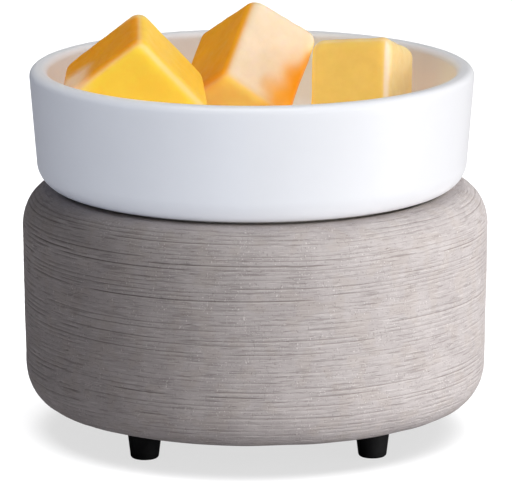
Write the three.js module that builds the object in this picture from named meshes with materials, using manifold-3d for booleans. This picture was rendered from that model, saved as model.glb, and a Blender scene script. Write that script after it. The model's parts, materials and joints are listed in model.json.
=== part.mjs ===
// Wax melt warmer: a ceramic body with a heated deck, a lift-out dish and three wax blocks.
// Millimetres, +Z up, standing on its feet at z = 0, centred on the body's axis, front towards -Y.

import * as THREE from 'three';
import { mergeVertices } from 'three/addons/utils/BufferGeometryUtils.js';
import { RoundedBoxGeometry } from 'three/addons/geometries/RoundedBoxGeometry.js';
import Module from 'manifold-3d';

const wasm = await Module();
wasm.setup();

// ---------------------------------------------------------------- driving dimensions

// Ceramic body
const footHeight = 9;
const bodyHeight = 58.5;
const bodyRadius = 62.5;
const bodyTaper = 0.6;
const bodyWall = 5.5;
const deckThickness = 7;
const shoulderReach = 7.4;
const shoulderDrop = 10.5;
const heelReach = 8.3;
const heelRise = 11.5;
const heelRingWidth = 3.1;
const ledgeWidth = 6;
const cavityFillet = 6;
const recessInset = 12.1;

// Dish
const dishInset = 3;
const dishHeight = 31.8;
const dishTaper = 1.8;
const dishWall = 4.9;
const dishFloor = 5.9;
const dishHeelRadius = 6.9;
const dishLipRadius = 2.1;
const dishFillet = 9;
const dishGap = 0.6;
const dishPlay = 1.3;
const dishShift = -0.9;

// Heater stack under the dish
const plateThickness = 2;
const plateSink = 0.9;
const plateClearance = 0.4;
const gasketThickness = 1;
const gasketWidth = 5;
const elementInset = 10;
const elementThickness = 2;
const insulationOverhang = 1;
const bracketThickness = 1.2;
const studRadius = 1.95;
const studInset = 8.4;
const studSpare = 1.2;
const washerRadius = 4.4;
const washerThickness = 0.8;
const studNutHeight = 3.2;
const studNutFlats = 7;

// Base plate and the spacer rods that draw it up
const basePlateThickness = 2;
const basePlateRecess = 1;
const basePlateClearance = 0.4;
const baseLedgeWidth = 3;
const baseLedgeHeight = 3;
const baseLedgeSlope = 5;
const rodInset = 4.4;
const rodRadius = 3;
const rodPinRadius = 1.5;
const rodNutHeight = 2.4;
const rodNutFlats = 5.5;
const screwShankRadius = 1.45;
const screwHeadRadius = 2.9;
const screwHeadHeight = 1.8;
const screwReach = 8;

// Feet
const footInset = 7.7;
const footTopRadius = 4.6;
const footBottomRadius = 3.8;
const footEdge = 0.8;
const footStemRadius = 1.8;
const footBarbRadius = 2.6;
const footBarbHeight = 1.8;

// Cord inlet
const inletHeight = 28;
const inletRadius = 6;
const inletSinkRadius = 8.5;
const inletSinkDepth = 1.7;
const grommetBore = 3.3;
const grommetLip = 7.2;
const grommetLipThickness = 1.6;

// Electrical parts
const terminalSize = { x: 22, y: 13, z: 14 };
const terminalSetback = 24;
const terminalPitch = 12;
const terminalWireRadius = 2.2;
const terminalScrewRadius = 1.7;
const cutoutSetback = -18;
const cutoutRadius = 8;
const cutoutHeight = 9;
const cutoutEarSpan = 30;
const cutoutEarWidth = 7;
const cutoutEarThickness = 0.8;
const cutoutScrewHead = 2.2;
const cutoutBladePitch = 8;
const bladeLength = 7;
const bladeWidth = 4.8;
const bladeThickness = 0.8;
const tailPitch = 10;
const tailInset = 10;
const tailRadius = 0.8;
const leadRadius = 1.1;

// Wax blocks
const waxSide = 30;
const waxTopSide = 28;
const waxHeight = 22.5;
const waxEdge = 3.8;
const waxSeatGap = 0.3;
const waxMiddleAngle = 95.5;
const waxMiddle = { name: 'wax_block_middle', wallGap: 18.3, turn: [18.5, -52.6, 149.4] };
const waxSides = [
  { name: 'wax_block_left', side: 1, wallGap: 0.54, spacing: 8.5, turn: [-73, 0.5, 49.1] },
  { name: 'wax_block_right', side: -1, wallGap: 9.58, spacing: 3.8, turn: [-99, -73.8, 7.4] },
];

// Fits
const screwClearance = 0.2;
const threadClearance = 0.1;
const seatGap = 0.3;

// Facets round a full turn
const bigTurn = 48;
const smallTurn = 16;

// ---------------------------------------------------------------- levels and radii that follow

const deckLevel = footHeight + bodyHeight;
const recessRadius = bodyRadius - recessInset;
const ledgeRadius = recessRadius - ledgeWidth;
const studCircle = ledgeRadius - studInset;
const rodCircle = ledgeRadius - rodInset;
const elementRadius = studCircle - elementInset;
const tailSetback = elementRadius - tailInset;
const plateTop = deckLevel - plateSink;
const plateBottom = plateTop - plateThickness;
const ledgeTop = plateBottom - gasketThickness;
const ledgeBottom = deckLevel - deckThickness;
const bracketBottom = ledgeBottom - bracketThickness;
const bracketRadius = recessRadius - plateClearance - basePlateClearance;
const baseOpening = bodyRadius - bodyTaper - heelReach - heelRingWidth;
const footCircle = baseOpening - footInset;
const baseTop = footHeight + basePlateRecess + basePlateThickness;
const baseBottom = footHeight + basePlateRecess;
const dishUnderside = deckLevel + dishGap;
const dishRimRadius = bodyRadius - dishInset;
const dishFloorLevel = dishUnderside + dishFloor;
const dishInnerRadius = dishRimRadius - dishWall;

// ---------------------------------------------------------------- shape helpers

/** Points of an elliptical arc in the (radius, height) half-plane, angles in degrees. */
function arc(centreR, centreZ, radiusR, radiusZ, from, to, steps) {
  const points = [];
  for (let i = 0; i <= steps; i += 1) {
    const angle = THREE.MathUtils.degToRad(from + ((to - from) * i) / steps);
    points.push([centreR + radiusR * Math.cos(angle), centreZ + radiusZ * Math.sin(angle)]);
  }
  return points;
}

/** Solid of revolution about +Z from an outline that runs bottom to top on its outer side. */
function revolve(outline, segments) {
  const closed = outline[0][0] > 0 ? [...outline, outline[0]] : outline;
  const points = closed.map(([r, z]) => new THREE.Vector2(r, z));
  return new THREE.LatheGeometry(points, segments).rotateX(Math.PI / 2);
}

/** Plain cylinder standing on z = bottom. */
function rod(radius, bottom, top, segments = smallTurn) {
  return revolve([[0, bottom], [radius, bottom], [radius, top], [0, top]], segments);
}

/** Flat ring between two radii. */
function ring(inner, outer, bottom, top, segments = bigTurn) {
  return revolve([[inner, bottom], [outer, bottom], [outer, top], [inner, top]], segments);
}

/** Box given by its sizes, standing on z = bottom and centred on x, y. */
function block(x, y, bottom, sizeX, sizeY, sizeZ) {
  return new THREE.BoxGeometry(sizeX, sizeY, sizeZ).translate(x, y, bottom + sizeZ / 2);
}

/** Hexagonal nut with a plain bore. */
function nut(flats, bore, bottom, height) {
  const outline = new THREE.Shape();
  const corner = flats / Math.sqrt(3);
  for (let i = 0; i < 6; i += 1) {
    const angle = (i * Math.PI) / 3;
    outline[i === 0 ? 'moveTo' : 'lineTo'](corner * Math.cos(angle), corner * Math.sin(angle));
  }
  outline.closePath();
  const hole = new THREE.Path();
  hole.absarc(0, 0, bore, 0, 2 * Math.PI, true);
  outline.holes.push(hole);
  const options = { depth: height, bevelEnabled: false, curveSegments: smallTurn / 2 };
  return new THREE.ExtrudeGeometry(outline, options).translate(0, 0, bottom);
}

/** The point on a circle about the body's axis, at an angle in degrees. */
function polar(radius, angle) {
  const a = THREE.MathUtils.degToRad(angle);
  return { x: radius * Math.cos(a), y: radius * Math.sin(a) };
}

/** Three angles evenly spaced from a first one. */
function threeFrom(first) {
  return [first, first + 120, first + 240];
}

function toManifold(geometry) {
  const bare = geometry.clone().deleteAttribute('normal').deleteAttribute('uv');
  const merged = mergeVertices(bare, 1e-4);
  const vertProperties = Float32Array.from(merged.attributes.position.array);
  const triVerts = Uint32Array.from(merged.index.array);
  return new wasm.Manifold(new wasm.Mesh({ numProp: 3, vertProperties, triVerts }));
}

function fromManifold(solid) {
  const mesh = solid.getMesh();
  const geometry = new THREE.BufferGeometry();
  geometry.setAttribute('position', new THREE.BufferAttribute(mesh.vertProperties, 3));
  geometry.setIndex(new THREE.BufferAttribute(mesh.triVerts, 1));
  return geometry;
}

/** One solid made of a base, pieces joined to it and pieces cut from it. */
function combine(base, joined, cuts) {
  let solid = toManifold(base);
  for (const piece of joined) solid = solid.add(toManifold(piece));
  for (const piece of cuts) solid = solid.subtract(toManifold(piece));
  return fromManifold(solid);
}

// ---------------------------------------------------------------- finishes

const finish = {
  stoneware: { color: 0x9a948c, roughness: 0.8, metalness: 0 },
  glaze: { color: 0xf2f3f6, roughness: 0.3, metalness: 0 },
  wax: { color: 0xf5bb4a, roughness: 0.45, metalness: 0 },
  aluminium: { color: 0xc6c8ca, roughness: 0.35, metalness: 1 },
  steel: { color: 0x9fa2a6, roughness: 0.4, metalness: 1 },
  brass: { color: 0xb9974e, roughness: 0.35, metalness: 1 },
  rubber: { color: 0x0c0c0d, roughness: 0.7, metalness: 0 },
  silicone: { color: 0xb4532f, roughness: 0.6, metalness: 0 },
  mica: { color: 0xb9a98a, roughness: 0.6, metalness: 0 },
  fibre: { color: 0xe8e4da, roughness: 0.95, metalness: 0 },
  steatite: { color: 0xe9e5dc, roughness: 0.5, metalness: 0 },
  bakelite: { color: 0x1b1512, roughness: 0.4, metalness: 0 },
  blackPaint: { color: 0x161617, roughness: 0.5, metalness: 0 },
  sleeve: { color: 0xdedbd2, roughness: 0.8, metalness: 0 },
};

const warmer = new THREE.Group();

function addPart(name, geometry, look) {
  const mesh = new THREE.Mesh(geometry, new THREE.MeshStandardMaterial(look));
  mesh.name = name;
  warmer.add(mesh);
  return mesh;
}

// ---------------------------------------------------------------- ceramic body

/** Shell outline: deck, shoulder, straight wall and heel outside; cavity and two ledges inside. */
function bodyOutline() {
  const heelRadius = bodyRadius - bodyTaper;
  const innerFoot = heelRadius - bodyWall;
  const roofEdge = bodyRadius - bodyWall - cavityFillet;
  const deckEdge = bodyRadius - shoulderReach;
  const innerLedge = baseOpening - baseLedgeWidth;
  const ledgeRoof = baseTop + baseLedgeHeight;
  const slopeTop = ledgeRoof + baseLedgeSlope;
  return [
    [baseOpening, footHeight],
    ...arc(heelRadius - heelReach, footHeight + heelRise, heelReach, heelRise, -90, 0, 6),
    ...arc(deckEdge, deckLevel - shoulderDrop, shoulderReach, shoulderDrop, 0, 90, 6),
    [recessRadius, deckLevel],
    [recessRadius, ledgeTop],
    [ledgeRadius, ledgeTop],
    [ledgeRadius, ledgeBottom],
    ...arc(roofEdge, ledgeBottom - cavityFillet, cavityFillet, cavityFillet, 90, 0, 3),
    [innerFoot, slopeTop],
    [innerLedge, ledgeRoof],
    [innerLedge, baseTop],
    [baseOpening, baseTop],
  ];
}

/** Cylinder lying along Y at the cord inlet's height. */
function inletBore(radius, from, to, segments) {
  return rod(radius, from, to, segments).rotateX(-Math.PI / 2).translate(0, 0, inletHeight);
}

function makeBody() {
  const shell = revolve(bodyOutline(), bigTurn);
  const hole = inletBore(inletRadius, bodyRadius / 2, bodyRadius + bodyWall, 2 * smallTurn);
  const sink = inletBore(inletSinkRadius, inletFace(), bodyRadius + bodyWall, 2 * smallTurn);
  addPart('ceramic_body', combine(shell, [], [hole, sink]), finish.stoneware);
}

/** Y of the flat seat that the grommet's outer flange lies on. */
function inletFace() {
  return bodyRadius - bodyTaper - inletSinkDepth;
}

/** Rubber bush for the cord, with a flange in the wall's flat seat and a lip behind the wall. */
function makeGrommet() {
  const barrel = inletRadius - seatGap;
  const flange = inletSinkRadius - seatGap;
  const outerEnd = inletFace() + inletSinkDepth - seatGap;
  const lipReach = Math.hypot(grommetLip, inletFace() + inletSinkDepth - bodyWall);
  const lipFront = 2 * (inletFace() + inletSinkDepth - bodyWall) - lipReach - seatGap;
  const outline = [
    [grommetBore, lipFront - grommetLipThickness],
    [grommetLip, lipFront - grommetLipThickness],
    [grommetLip, lipFront],
    [barrel, lipFront],
    [barrel, inletFace()],
    [flange, inletFace()],
    [flange, outerEnd],
    [grommetBore, outerEnd],
  ];
  const bush = revolve(outline, 2 * smallTurn).rotateX(-Math.PI / 2).translate(0, 0, inletHeight);
  addPart('cord_grommet', bush, finish.rubber);
}

// ---------------------------------------------------------------- dish

function dishOutline() {
  const footRadius = dishRimRadius - dishTaper;
  const heelCentre = footRadius - dishHeelRadius;
  const rimTop = dishUnderside + dishHeight;
  const lipLevel = rimTop - dishLipRadius;
  const filletLevel = dishFloorLevel + dishFillet;
  const innerFoot = footRadius - dishWall;
  const bossRadius = recessRadius - dishPlay;
  return [
    [0, plateTop],
    [bossRadius, plateTop],
    [bossRadius, dishUnderside],
    ...arc(heelCentre, dishUnderside + dishHeelRadius, dishHeelRadius, dishHeelRadius, -90, 0, 4),
    ...arc(dishRimRadius - dishLipRadius, lipLevel, dishLipRadius, dishLipRadius, 0, 90, 3),
    ...arc(dishInnerRadius + dishLipRadius, lipLevel, dishLipRadius, dishLipRadius, 90, 180, 3),
    ...arc(innerFoot - dishFillet, filletLevel, dishFillet, dishFillet, 0, -90, 4),
    [0, dishFloorLevel],
  ];
}

function makeDish() {
  addPart('dish', revolve(dishOutline(), bigTurn).translate(dishShift, 0, 0), finish.glaze);
}

// ---------------------------------------------------------------- heater stack

const studAngles = threeFrom(90);
const rodAngles = threeFrom(30);

/** Aluminium hot plate with three studs standing down from it. */
function makeHeaterPlate() {
  const radius = recessRadius - plateClearance;
  const disc = rod(radius, plateBottom, plateTop, bigTurn);
  const studEnd = bracketBottom - washerThickness - studNutHeight - studSpare;
  const studs = studAngles.map((angle) => {
    const at = polar(studCircle, angle);
    return rod(studRadius, studEnd, plateBottom + plateThickness / 2).translate(at.x, at.y, 0);
  });
  addPart('heater_plate', combine(disc, studs, []), finish.aluminium);
  const gasketOuter = radius - seatGap;
  const gasket = ring(gasketOuter - gasketWidth, gasketOuter, ledgeTop, plateBottom);
  addPart('plate_gasket', gasket, finish.silicone);
}

/** Mica element against the plate, with two stiff tails down through the bracket's window. */
function makeElement() {
  const disc = rod(elementRadius, plateBottom - elementThickness, plateBottom, 2 * smallTurn);
  const tails = [-tailPitch / 2, tailPitch / 2].map((x) => {
    const top = plateBottom - elementThickness / 2;
    return rod(tailRadius, tailEnd(), top, smallTurn / 2).translate(x, tailSetback, 0);
  });
  addPart('heater_element', combine(disc, tails, []), finish.mica);
  const padRadius = elementRadius + insulationOverhang;
  const pad = rod(padRadius, ledgeBottom, plateBottom - elementThickness, 2 * smallTurn);
  addPart('insulation_disc', combine(pad, [], [tailWindow()]), finish.fibre);
}

/** Level of the element tails' lower ends. */
function tailEnd() {
  return bracketBottom - cutoutHeight / 2;
}

/** Slot through the bracket and the insulation for the element's tails. */
function tailWindow() {
  const depth = plateBottom - bracketBottom;
  const width = tailPitch + 8 * tailRadius;
  return block(0, tailSetback, bracketBottom - depth, width, 8 * tailRadius, 3 * depth);
}

/** Holes of one radius on a circle, as cutters that pass right through from bottom to top. */
function holesOn(circle, angles, radius, bottom, top) {
  return angles.map((angle) => {
    const at = polar(circle, angle);
    return rod(radius, bottom - 1, top + 1).translate(at.x, at.y, 0);
  });
}

/** Steel disc that clamps the stack up against the underside of the body's ledge. */
function makeBracket() {
  const disc = rod(bracketRadius, bracketBottom, ledgeBottom, bigTurn);
  const earScrew = cutoutEarHoles().map((x) => (
    rod(screwShankRadius + screwClearance, bracketBottom - 1, ledgeBottom + 1)
      .translate(x, cutoutSetback, 0)
  ));
  const cuts = [
    ...holesOn(studCircle, studAngles, studRadius + screwClearance, bracketBottom, ledgeBottom),
    ...holesOn(rodCircle, rodAngles, rodPinRadius + screwClearance, bracketBottom, ledgeBottom),
    ...earScrew,
    tailWindow(),
  ];
  addPart('heater_bracket', combine(disc, [], cuts), finish.steel);
  studAngles.forEach((angle, i) => {
    const at = polar(studCircle, angle);
    const bore = studRadius + threadClearance;
    const washerBottom = bracketBottom - washerThickness;
    const washer = ring(bore, washerRadius, washerBottom, bracketBottom, smallTurn);
    const hex = nut(studNutFlats, bore, washerBottom - studNutHeight, studNutHeight);
    addPart(`stud_washer_${i + 1}`, washer.translate(at.x, at.y, 0), finish.steel);
    addPart(`stud_nut_${i + 1}`, hex.translate(at.x, at.y, 0), finish.steel);
  });
}

// ---------------------------------------------------------------- thermal cut-out

/** X of the two fixing holes in the cut-out's ears. */
function cutoutEarHoles() {
  const inset = cutoutEarWidth / 2;
  return [inset - cutoutEarSpan / 2, cutoutEarSpan / 2 - inset];
}

/** X of the two blades, supply side first. */
function bladeX(side) {
  return (side * cutoutBladePitch) / 2;
}

/** Level of the blades' lower ends. */
function bladeEnd() {
  return bracketBottom - cutoutHeight - bladeLength;
}

function makeCutout() {
  const top = bracketBottom;
  const can = rod(cutoutRadius, top - cutoutHeight, top, 2 * smallTurn).translate(0, cutoutSetback, 0);
  const earBottom = top - cutoutEarThickness;
  const ears = block(0, cutoutSetback, earBottom, cutoutEarSpan, cutoutEarWidth, cutoutEarThickness);
  const bladeHeight = top - cutoutHeight / 2 - bladeEnd();
  const blades = [-1, 1].map((side) => (
    block(bladeX(side), cutoutSetback, bladeEnd(), bladeThickness, bladeWidth, bladeHeight)
  ));
  const holes = cutoutEarHoles().map((x) => (
    rod(screwShankRadius + screwClearance, top - cutoutHeight, top + 1).translate(x, cutoutSetback, 0)
  ));
  addPart('thermal_cutout', combine(can, [ears, ...blades], holes), finish.bakelite);
  cutoutEarHoles().forEach((x, i) => {
    const reach = cutoutEarThickness + bracketThickness - seatGap;
    const screw = panScrew(earBottom, reach, cutoutScrewHead);
    addPart(`cutout_screw_${i + 1}`, screw.translate(x, cutoutSetback, 0), finish.steel);
  });
}

/** Pan-head screw pointing up: the head's upper face lies at seat and the shank rises from it. */
function panScrew(seat, reach, headRadius) {
  const bottom = seat - screwHeadHeight;
  return revolve([
    [0, bottom],
    [headRadius * 0.6, bottom],
    [headRadius, bottom + screwHeadHeight * 0.5],
    [headRadius, seat],
    [screwShankRadius, seat],
    [screwShankRadius, seat + reach],
    [0, seat + reach],
  ], smallTurn);
}

// ---------------------------------------------------------------- spacer rods and base plate

/** Rod from the base plate to the bracket: bored below for its screw, pinned above for its nut. */
function makeRods() {
  const pinTop = ledgeBottom + rodNutHeight + 0.5;
  const bore = screwShankRadius + threadClearance;
  const boreTop = baseTop + screwReach + 2;
  const outline = [
    [bore, baseTop],
    [rodRadius, baseTop],
    [rodRadius, bracketBottom],
    [rodPinRadius, bracketBottom],
    [rodPinRadius, pinTop],
    [0, pinTop],
    [0, boreTop],
    [bore, boreTop],
  ];
  rodAngles.forEach((angle, i) => {
    const at = polar(rodCircle, angle);
    const hex = nut(rodNutFlats, rodPinRadius + threadClearance, ledgeBottom, rodNutHeight);
    const screw = panScrew(baseBottom, basePlateThickness + screwReach, screwHeadRadius);
    const spacer = revolve([...outline, outline[0]], smallTurn);
    addPart(`spacer_rod_${i + 1}`, spacer.translate(at.x, at.y, 0), finish.brass);
    addPart(`rod_nut_${i + 1}`, hex.translate(at.x, at.y, 0), finish.steel);
    addPart(`base_screw_${i + 1}`, screw.translate(at.x, at.y, 0), finish.steel);
  });
}

const footAngles = [45, 135, 225, 315];
const ventAngles = [30, 150, 210, 270, 330];
const ventCircle = 22;
const ventLength = 14;
const ventWidth = 3;

/** Radial vent slot, as a cutter through the base plate; none lies under the terminal block. */
function ventSlot(angle) {
  const height = basePlateThickness + 2;
  const slot = block(ventCircle, 0, baseBottom - 1, ventLength, ventWidth, height);
  return slot.rotateZ(THREE.MathUtils.degToRad(angle));
}

function makeBasePlate() {
  const disc = rod(baseOpening - basePlateClearance, baseBottom, baseTop, bigTurn);
  const fixing = rod(screwShankRadius + screwClearance, baseBottom - 1, baseTop + 1);
  const cuts = [
    ...holesOn(rodCircle, rodAngles, screwShankRadius + screwClearance, baseBottom, baseTop),
    ...holesOn(footCircle, footAngles, footStemRadius + screwClearance, baseBottom, baseTop),
    ...ventAngles.map(ventSlot),
    fixing.translate(0, terminalSetback, 0),
  ];
  addPart('base_plate', combine(disc, [], cuts), finish.blackPaint);
}

/** Tapered rubber foot with a rounded tread and a barbed stem through the base plate. */
function makeFeet() {
  const tread = arc(footBottomRadius - footEdge, footEdge, footEdge, footEdge, -90, -10, 2);
  const outline = [
    [0, 0],
    ...tread,
    [footTopRadius, baseBottom],
    [footStemRadius, baseBottom],
    [footStemRadius, baseTop],
    [footBarbRadius, baseTop],
    [footStemRadius * 0.7, baseTop + footBarbHeight],
    [0, baseTop + footBarbHeight],
  ];
  footAngles.forEach((angle, i) => {
    const at = polar(footCircle, angle);
    const names = ['rear_right', 'rear_left', 'front_left', 'front_right'];
    const foot = revolve(outline, smallTurn).translate(at.x, at.y, 0);
    addPart(`foot_${names[i]}`, foot, finish.rubber);
  });
}

// ---------------------------------------------------------------- terminal block and leads

function terminalX(side) {
  return (side * terminalPitch) / 2;
}

/** Level of the wire holes through the terminal block. */
function terminalWireLevel() {
  return baseTop + terminalSize.z * 0.4;
}

function makeTerminals() {
  const body = block(0, terminalSetback, baseTop, terminalSize.x, terminalSize.y, terminalSize.z);
  const top = baseTop + terminalSize.z;
  const cuts = [];
  for (const side of [-1, 1]) {
    const wireHole = rod(terminalWireRadius, -terminalSize.y, terminalSize.y)
      .rotateX(-Math.PI / 2)
      .translate(terminalX(side), terminalSetback, terminalWireLevel());
    const screwHole = rod(terminalScrewRadius + threadClearance, terminalWireLevel(), top + 1)
      .translate(terminalX(side), terminalSetback, 0);
    cuts.push(wireHole, screwHole);
  }
  const sinkLevel = top - terminalSize.z / 3;
  cuts.push(rod(screwShankRadius + screwClearance, baseTop - 1, top + 1).translate(0, terminalSetback, 0));
  cuts.push(rod(screwHeadRadius + screwClearance, sinkLevel, top + 1).translate(0, terminalSetback, 0));
  addPart('terminal_block', combine(body, [], cuts), finish.steatite);
  [-1, 1].forEach((side, i) => {
    const screw = rod(terminalScrewRadius, terminalWireLevel() + leadRadius + seatGap, top - 1);
    addPart(`terminal_screw_${i + 1}`, screw.translate(terminalX(side), terminalSetback, 0), finish.brass);
  });
  const reach = sinkLevel - baseBottom;
  const fixing = panScrew(0, reach, screwHeadRadius)
    .rotateX(Math.PI)
    .translate(0, terminalSetback, sinkLevel);
  addPart('terminal_fixing_screw', fixing, finish.steel);
}

/** Round lead through a list of points, ended square. */
function lead(points) {
  const path = new THREE.CatmullRomCurve3(points.map((p) => new THREE.Vector3(...p)));
  const section = new THREE.Shape();
  section.absarc(0, 0, leadRadius, 0, 2 * Math.PI, false);
  const options = { steps: 14, curveSegments: 4, bevelEnabled: false, extrudePath: path };
  return new THREE.ExtrudeGeometry(section, options);
}

function makeLeads() {
  const level = terminalWireLevel();
  const mouth = terminalSetback - terminalSize.y / 2;
  const inside = terminalSetback - terminalScrewRadius;
  const middle = (level + bracketBottom) / 2;
  const tailTip = tailEnd() - seatGap - leadRadius;
  const bladeTip = bladeEnd() - seatGap;
  addPart('lead_supply', lead([
    [terminalX(-1), inside, level],
    [terminalX(-1), mouth - 3, level],
    [terminalX(-1) - 2, 2, level + 5],
    [bladeX(-1), cutoutSetback, middle - 6],
    [bladeX(-1), cutoutSetback, bladeTip],
  ]), finish.sleeve);
  addPart('lead_return', lead([
    [terminalX(1), inside, level],
    [terminalX(1), mouth - 3, level],
    [terminalX(1) + 3, 10, level + 7],
    [terminalX(1) + 2, 13, middle],
    [tailPitch / 2, tailSetback, tailTip],
  ]), finish.sleeve);
  addPart('lead_heater', lead([
    [bladeX(1), cutoutSetback, bladeTip],
    [bladeX(1), cutoutSetback, bladeTip - 5],
    [bladeX(1) - 2, cutoutSetback + 12, bladeTip - 7],
    [bladeX(-1) - 1, tailSetback - 8, bladeTip - 3],
    [-tailPitch / 2, tailSetback, bladeTip + 2],
    [-tailPitch / 2, tailSetback, tailTip],
  ]), finish.sleeve);
}

// ---------------------------------------------------------------- wax blocks

/** Tapered block with rounded edges, base down, centred on the origin. */
function waxShape() {
  const geometry = new RoundedBoxGeometry(waxSide, waxSide, waxHeight, 2, waxEdge);
  const position = geometry.attributes.position;
  for (let i = 0; i < position.count; i += 1) {
    const rise = position.getZ(i) / waxHeight + 0.5;
    const width = 1 + (waxTopSide / waxSide - 1) * rise;
    position.setXY(i, position.getX(i) * width, position.getY(i) * width);
  }
  return geometry;
}

/** A block turned as it lies, its centre over the origin and its lowest point on the floor's gap. */
function lyingWax(turn) {
  const [ax, ay, az] = turn.map(THREE.MathUtils.degToRad);
  const shape = waxShape();
  shape.applyMatrix4(new THREE.Matrix4().makeRotationFromEuler(new THREE.Euler(ax, ay, az, 'XYZ')));
  shape.computeBoundingBox();
  return shape.translate(0, 0, dishFloorLevel + waxSeatGap - shape.boundingBox.min.z);
}

/** Radius of the dish's inner wall at a level. */
function innerWall(level) {
  return dishRimRadius - dishTaper - dishWall + (dishTaper * (level - dishUnderside)) / dishHeight;
}

/** How far the shape's centre can lie from the dish's axis, at an angle, with a gap to its wall. */
function reachToWall(shape, angle, gap) {
  const way = polar(1, angle);
  const position = shape.attributes.position;
  let reach = Infinity;
  for (let i = 0; i < position.count; i += 1) {
    const limit = innerWall(position.getZ(i)) - gap;
    const along = position.getX(i) * way.x + position.getY(i) * way.y;
    const across = position.getX(i) * way.y - position.getY(i) * way.x;
    reach = Math.min(reach, Math.sqrt(limit ** 2 - across ** 2) - along);
  }
  return reach;
}

/** Angle at the dish's axis between two blocks whose centres are a given distance apart. */
function angleBetween(reachA, reachB, distance) {
  const cosine = (reachA ** 2 + reachB ** 2 - distance ** 2) / (2 * reachA * reachB);
  return THREE.MathUtils.radToDeg(Math.acos(cosine));
}

function placeWax(name, shape, reach, angle) {
  const at = polar(reach, angle);
  addPart(name, shape.translate(at.x + dishShift, at.y, 0), finish.wax);
}

/** The middle block lies at the back; the other two keep their spacing from it on either side. */
function makeWax() {
  const middle = lyingWax(waxMiddle.turn);
  const middleReach = reachToWall(middle, waxMiddleAngle, waxMiddle.wallGap);
  placeWax(waxMiddle.name, middle, middleReach, waxMiddleAngle);
  for (const { name, side, wallGap, spacing, turn } of waxSides) {
    const shape = lyingWax(turn);
    let angle = waxMiddleAngle + side * 60;
    let reach = 0;
    for (let pass = 0; pass < 4; pass += 1) {
      reach = reachToWall(shape, angle, wallGap);
      angle = waxMiddleAngle + side * angleBetween(middleReach, reach, waxSide + spacing);
    }
    placeWax(name, shape, reach, angle);
  }
}

// ---------------------------------------------------------------- the warmer

makeBody();
makeGrommet();
makeDish();
makeHeaterPlate();
makeElement();
makeBracket();
makeCutout();
makeRods();
makeBasePlate();
makeFeet();
makeTerminals();
makeLeads();
makeWax();

export default warmer;
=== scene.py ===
"""Looks for a wax melt warmer: combed stoneware body, lift-out dish on a hot plate and three wax blocks.

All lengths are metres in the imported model's own frame: +Z up, the front towards -Y.
"""

import json
import logging
import math
from collections.abc import Callable
from dataclasses import dataclass
from dataclasses import field
from enum import Enum

import bmesh
import bpy
import numpy as np
from mathutils import Matrix
from mathutils import Vector

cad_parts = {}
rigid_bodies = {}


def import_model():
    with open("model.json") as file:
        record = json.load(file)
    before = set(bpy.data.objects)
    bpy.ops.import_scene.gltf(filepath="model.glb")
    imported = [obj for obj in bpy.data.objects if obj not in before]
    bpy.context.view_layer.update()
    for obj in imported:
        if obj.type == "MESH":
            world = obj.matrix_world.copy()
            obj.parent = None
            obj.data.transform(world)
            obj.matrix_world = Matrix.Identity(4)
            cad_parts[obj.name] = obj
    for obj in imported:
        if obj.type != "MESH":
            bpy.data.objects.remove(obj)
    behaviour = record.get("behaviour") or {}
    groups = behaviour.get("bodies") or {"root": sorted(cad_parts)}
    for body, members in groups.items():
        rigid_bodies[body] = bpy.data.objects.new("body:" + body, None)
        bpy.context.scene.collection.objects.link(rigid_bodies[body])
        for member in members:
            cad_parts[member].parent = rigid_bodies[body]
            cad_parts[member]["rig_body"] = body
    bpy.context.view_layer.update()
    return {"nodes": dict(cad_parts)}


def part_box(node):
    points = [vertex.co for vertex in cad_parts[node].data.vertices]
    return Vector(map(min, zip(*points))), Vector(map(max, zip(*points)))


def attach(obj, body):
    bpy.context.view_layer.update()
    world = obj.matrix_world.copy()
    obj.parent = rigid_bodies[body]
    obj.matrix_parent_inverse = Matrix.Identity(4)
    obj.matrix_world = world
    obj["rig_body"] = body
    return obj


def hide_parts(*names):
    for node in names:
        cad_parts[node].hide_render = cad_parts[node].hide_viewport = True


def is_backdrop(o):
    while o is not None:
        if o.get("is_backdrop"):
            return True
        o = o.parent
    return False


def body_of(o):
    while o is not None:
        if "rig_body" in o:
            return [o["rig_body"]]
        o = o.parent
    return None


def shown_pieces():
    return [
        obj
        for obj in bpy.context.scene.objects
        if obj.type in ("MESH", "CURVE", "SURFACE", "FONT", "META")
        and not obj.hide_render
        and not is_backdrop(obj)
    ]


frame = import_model()

Point = tuple[float, float]
Outline = list[Point]
Colour = tuple[float, float, float]
LOG = logging.getLogger("warmer")


# ---------------------------------------------------------------- outlines and meshes


def arc(centre: Point, reach: Point, start: float, end: float, steps: int) -> Outline:
    """Points along part of an ellipse."""
    angles = [math.radians(start + (end - start) * i / steps) for i in range(steps + 1)]
    return [(centre[0] + reach[0] * math.cos(a), centre[1] + reach[1] * math.sin(a)) for a in angles]


def run(start: Point, end: Point, steps: int) -> Outline:
    """Points along a straight stretch."""
    shares = [(i + 1) / steps for i in range(steps)]
    return [(start[0] + (end[0] - start[0]) * t, start[1] + (end[1] - start[1]) * t) for t in shares]


def ripple(points: np.ndarray, wavelength: float, seed: int, waves: int = 20) -> np.ndarray:
    """Smooth unevenness in space, the same on every run.

    Args:
        points: n rows of x, y, z.
        wavelength: the middle wavelength of the bumps.
        seed: picks one pattern.
        waves: how many waves are summed.

    Returns:
        n values, mostly between -1 and 1.
    """
    rng = np.random.default_rng(seed)
    aims = rng.normal(size=(waves, 3))
    aims /= np.linalg.norm(aims, axis=1)[:, None]
    rates = 2 * np.pi / (wavelength * rng.uniform(0.7, 1.5, waves))
    phases = rng.uniform(0, 2 * np.pi, waves)
    total = np.sin(points @ (aims * rates[:, None]).T + phases).sum(axis=1)
    return total / math.sqrt(waves)


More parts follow.
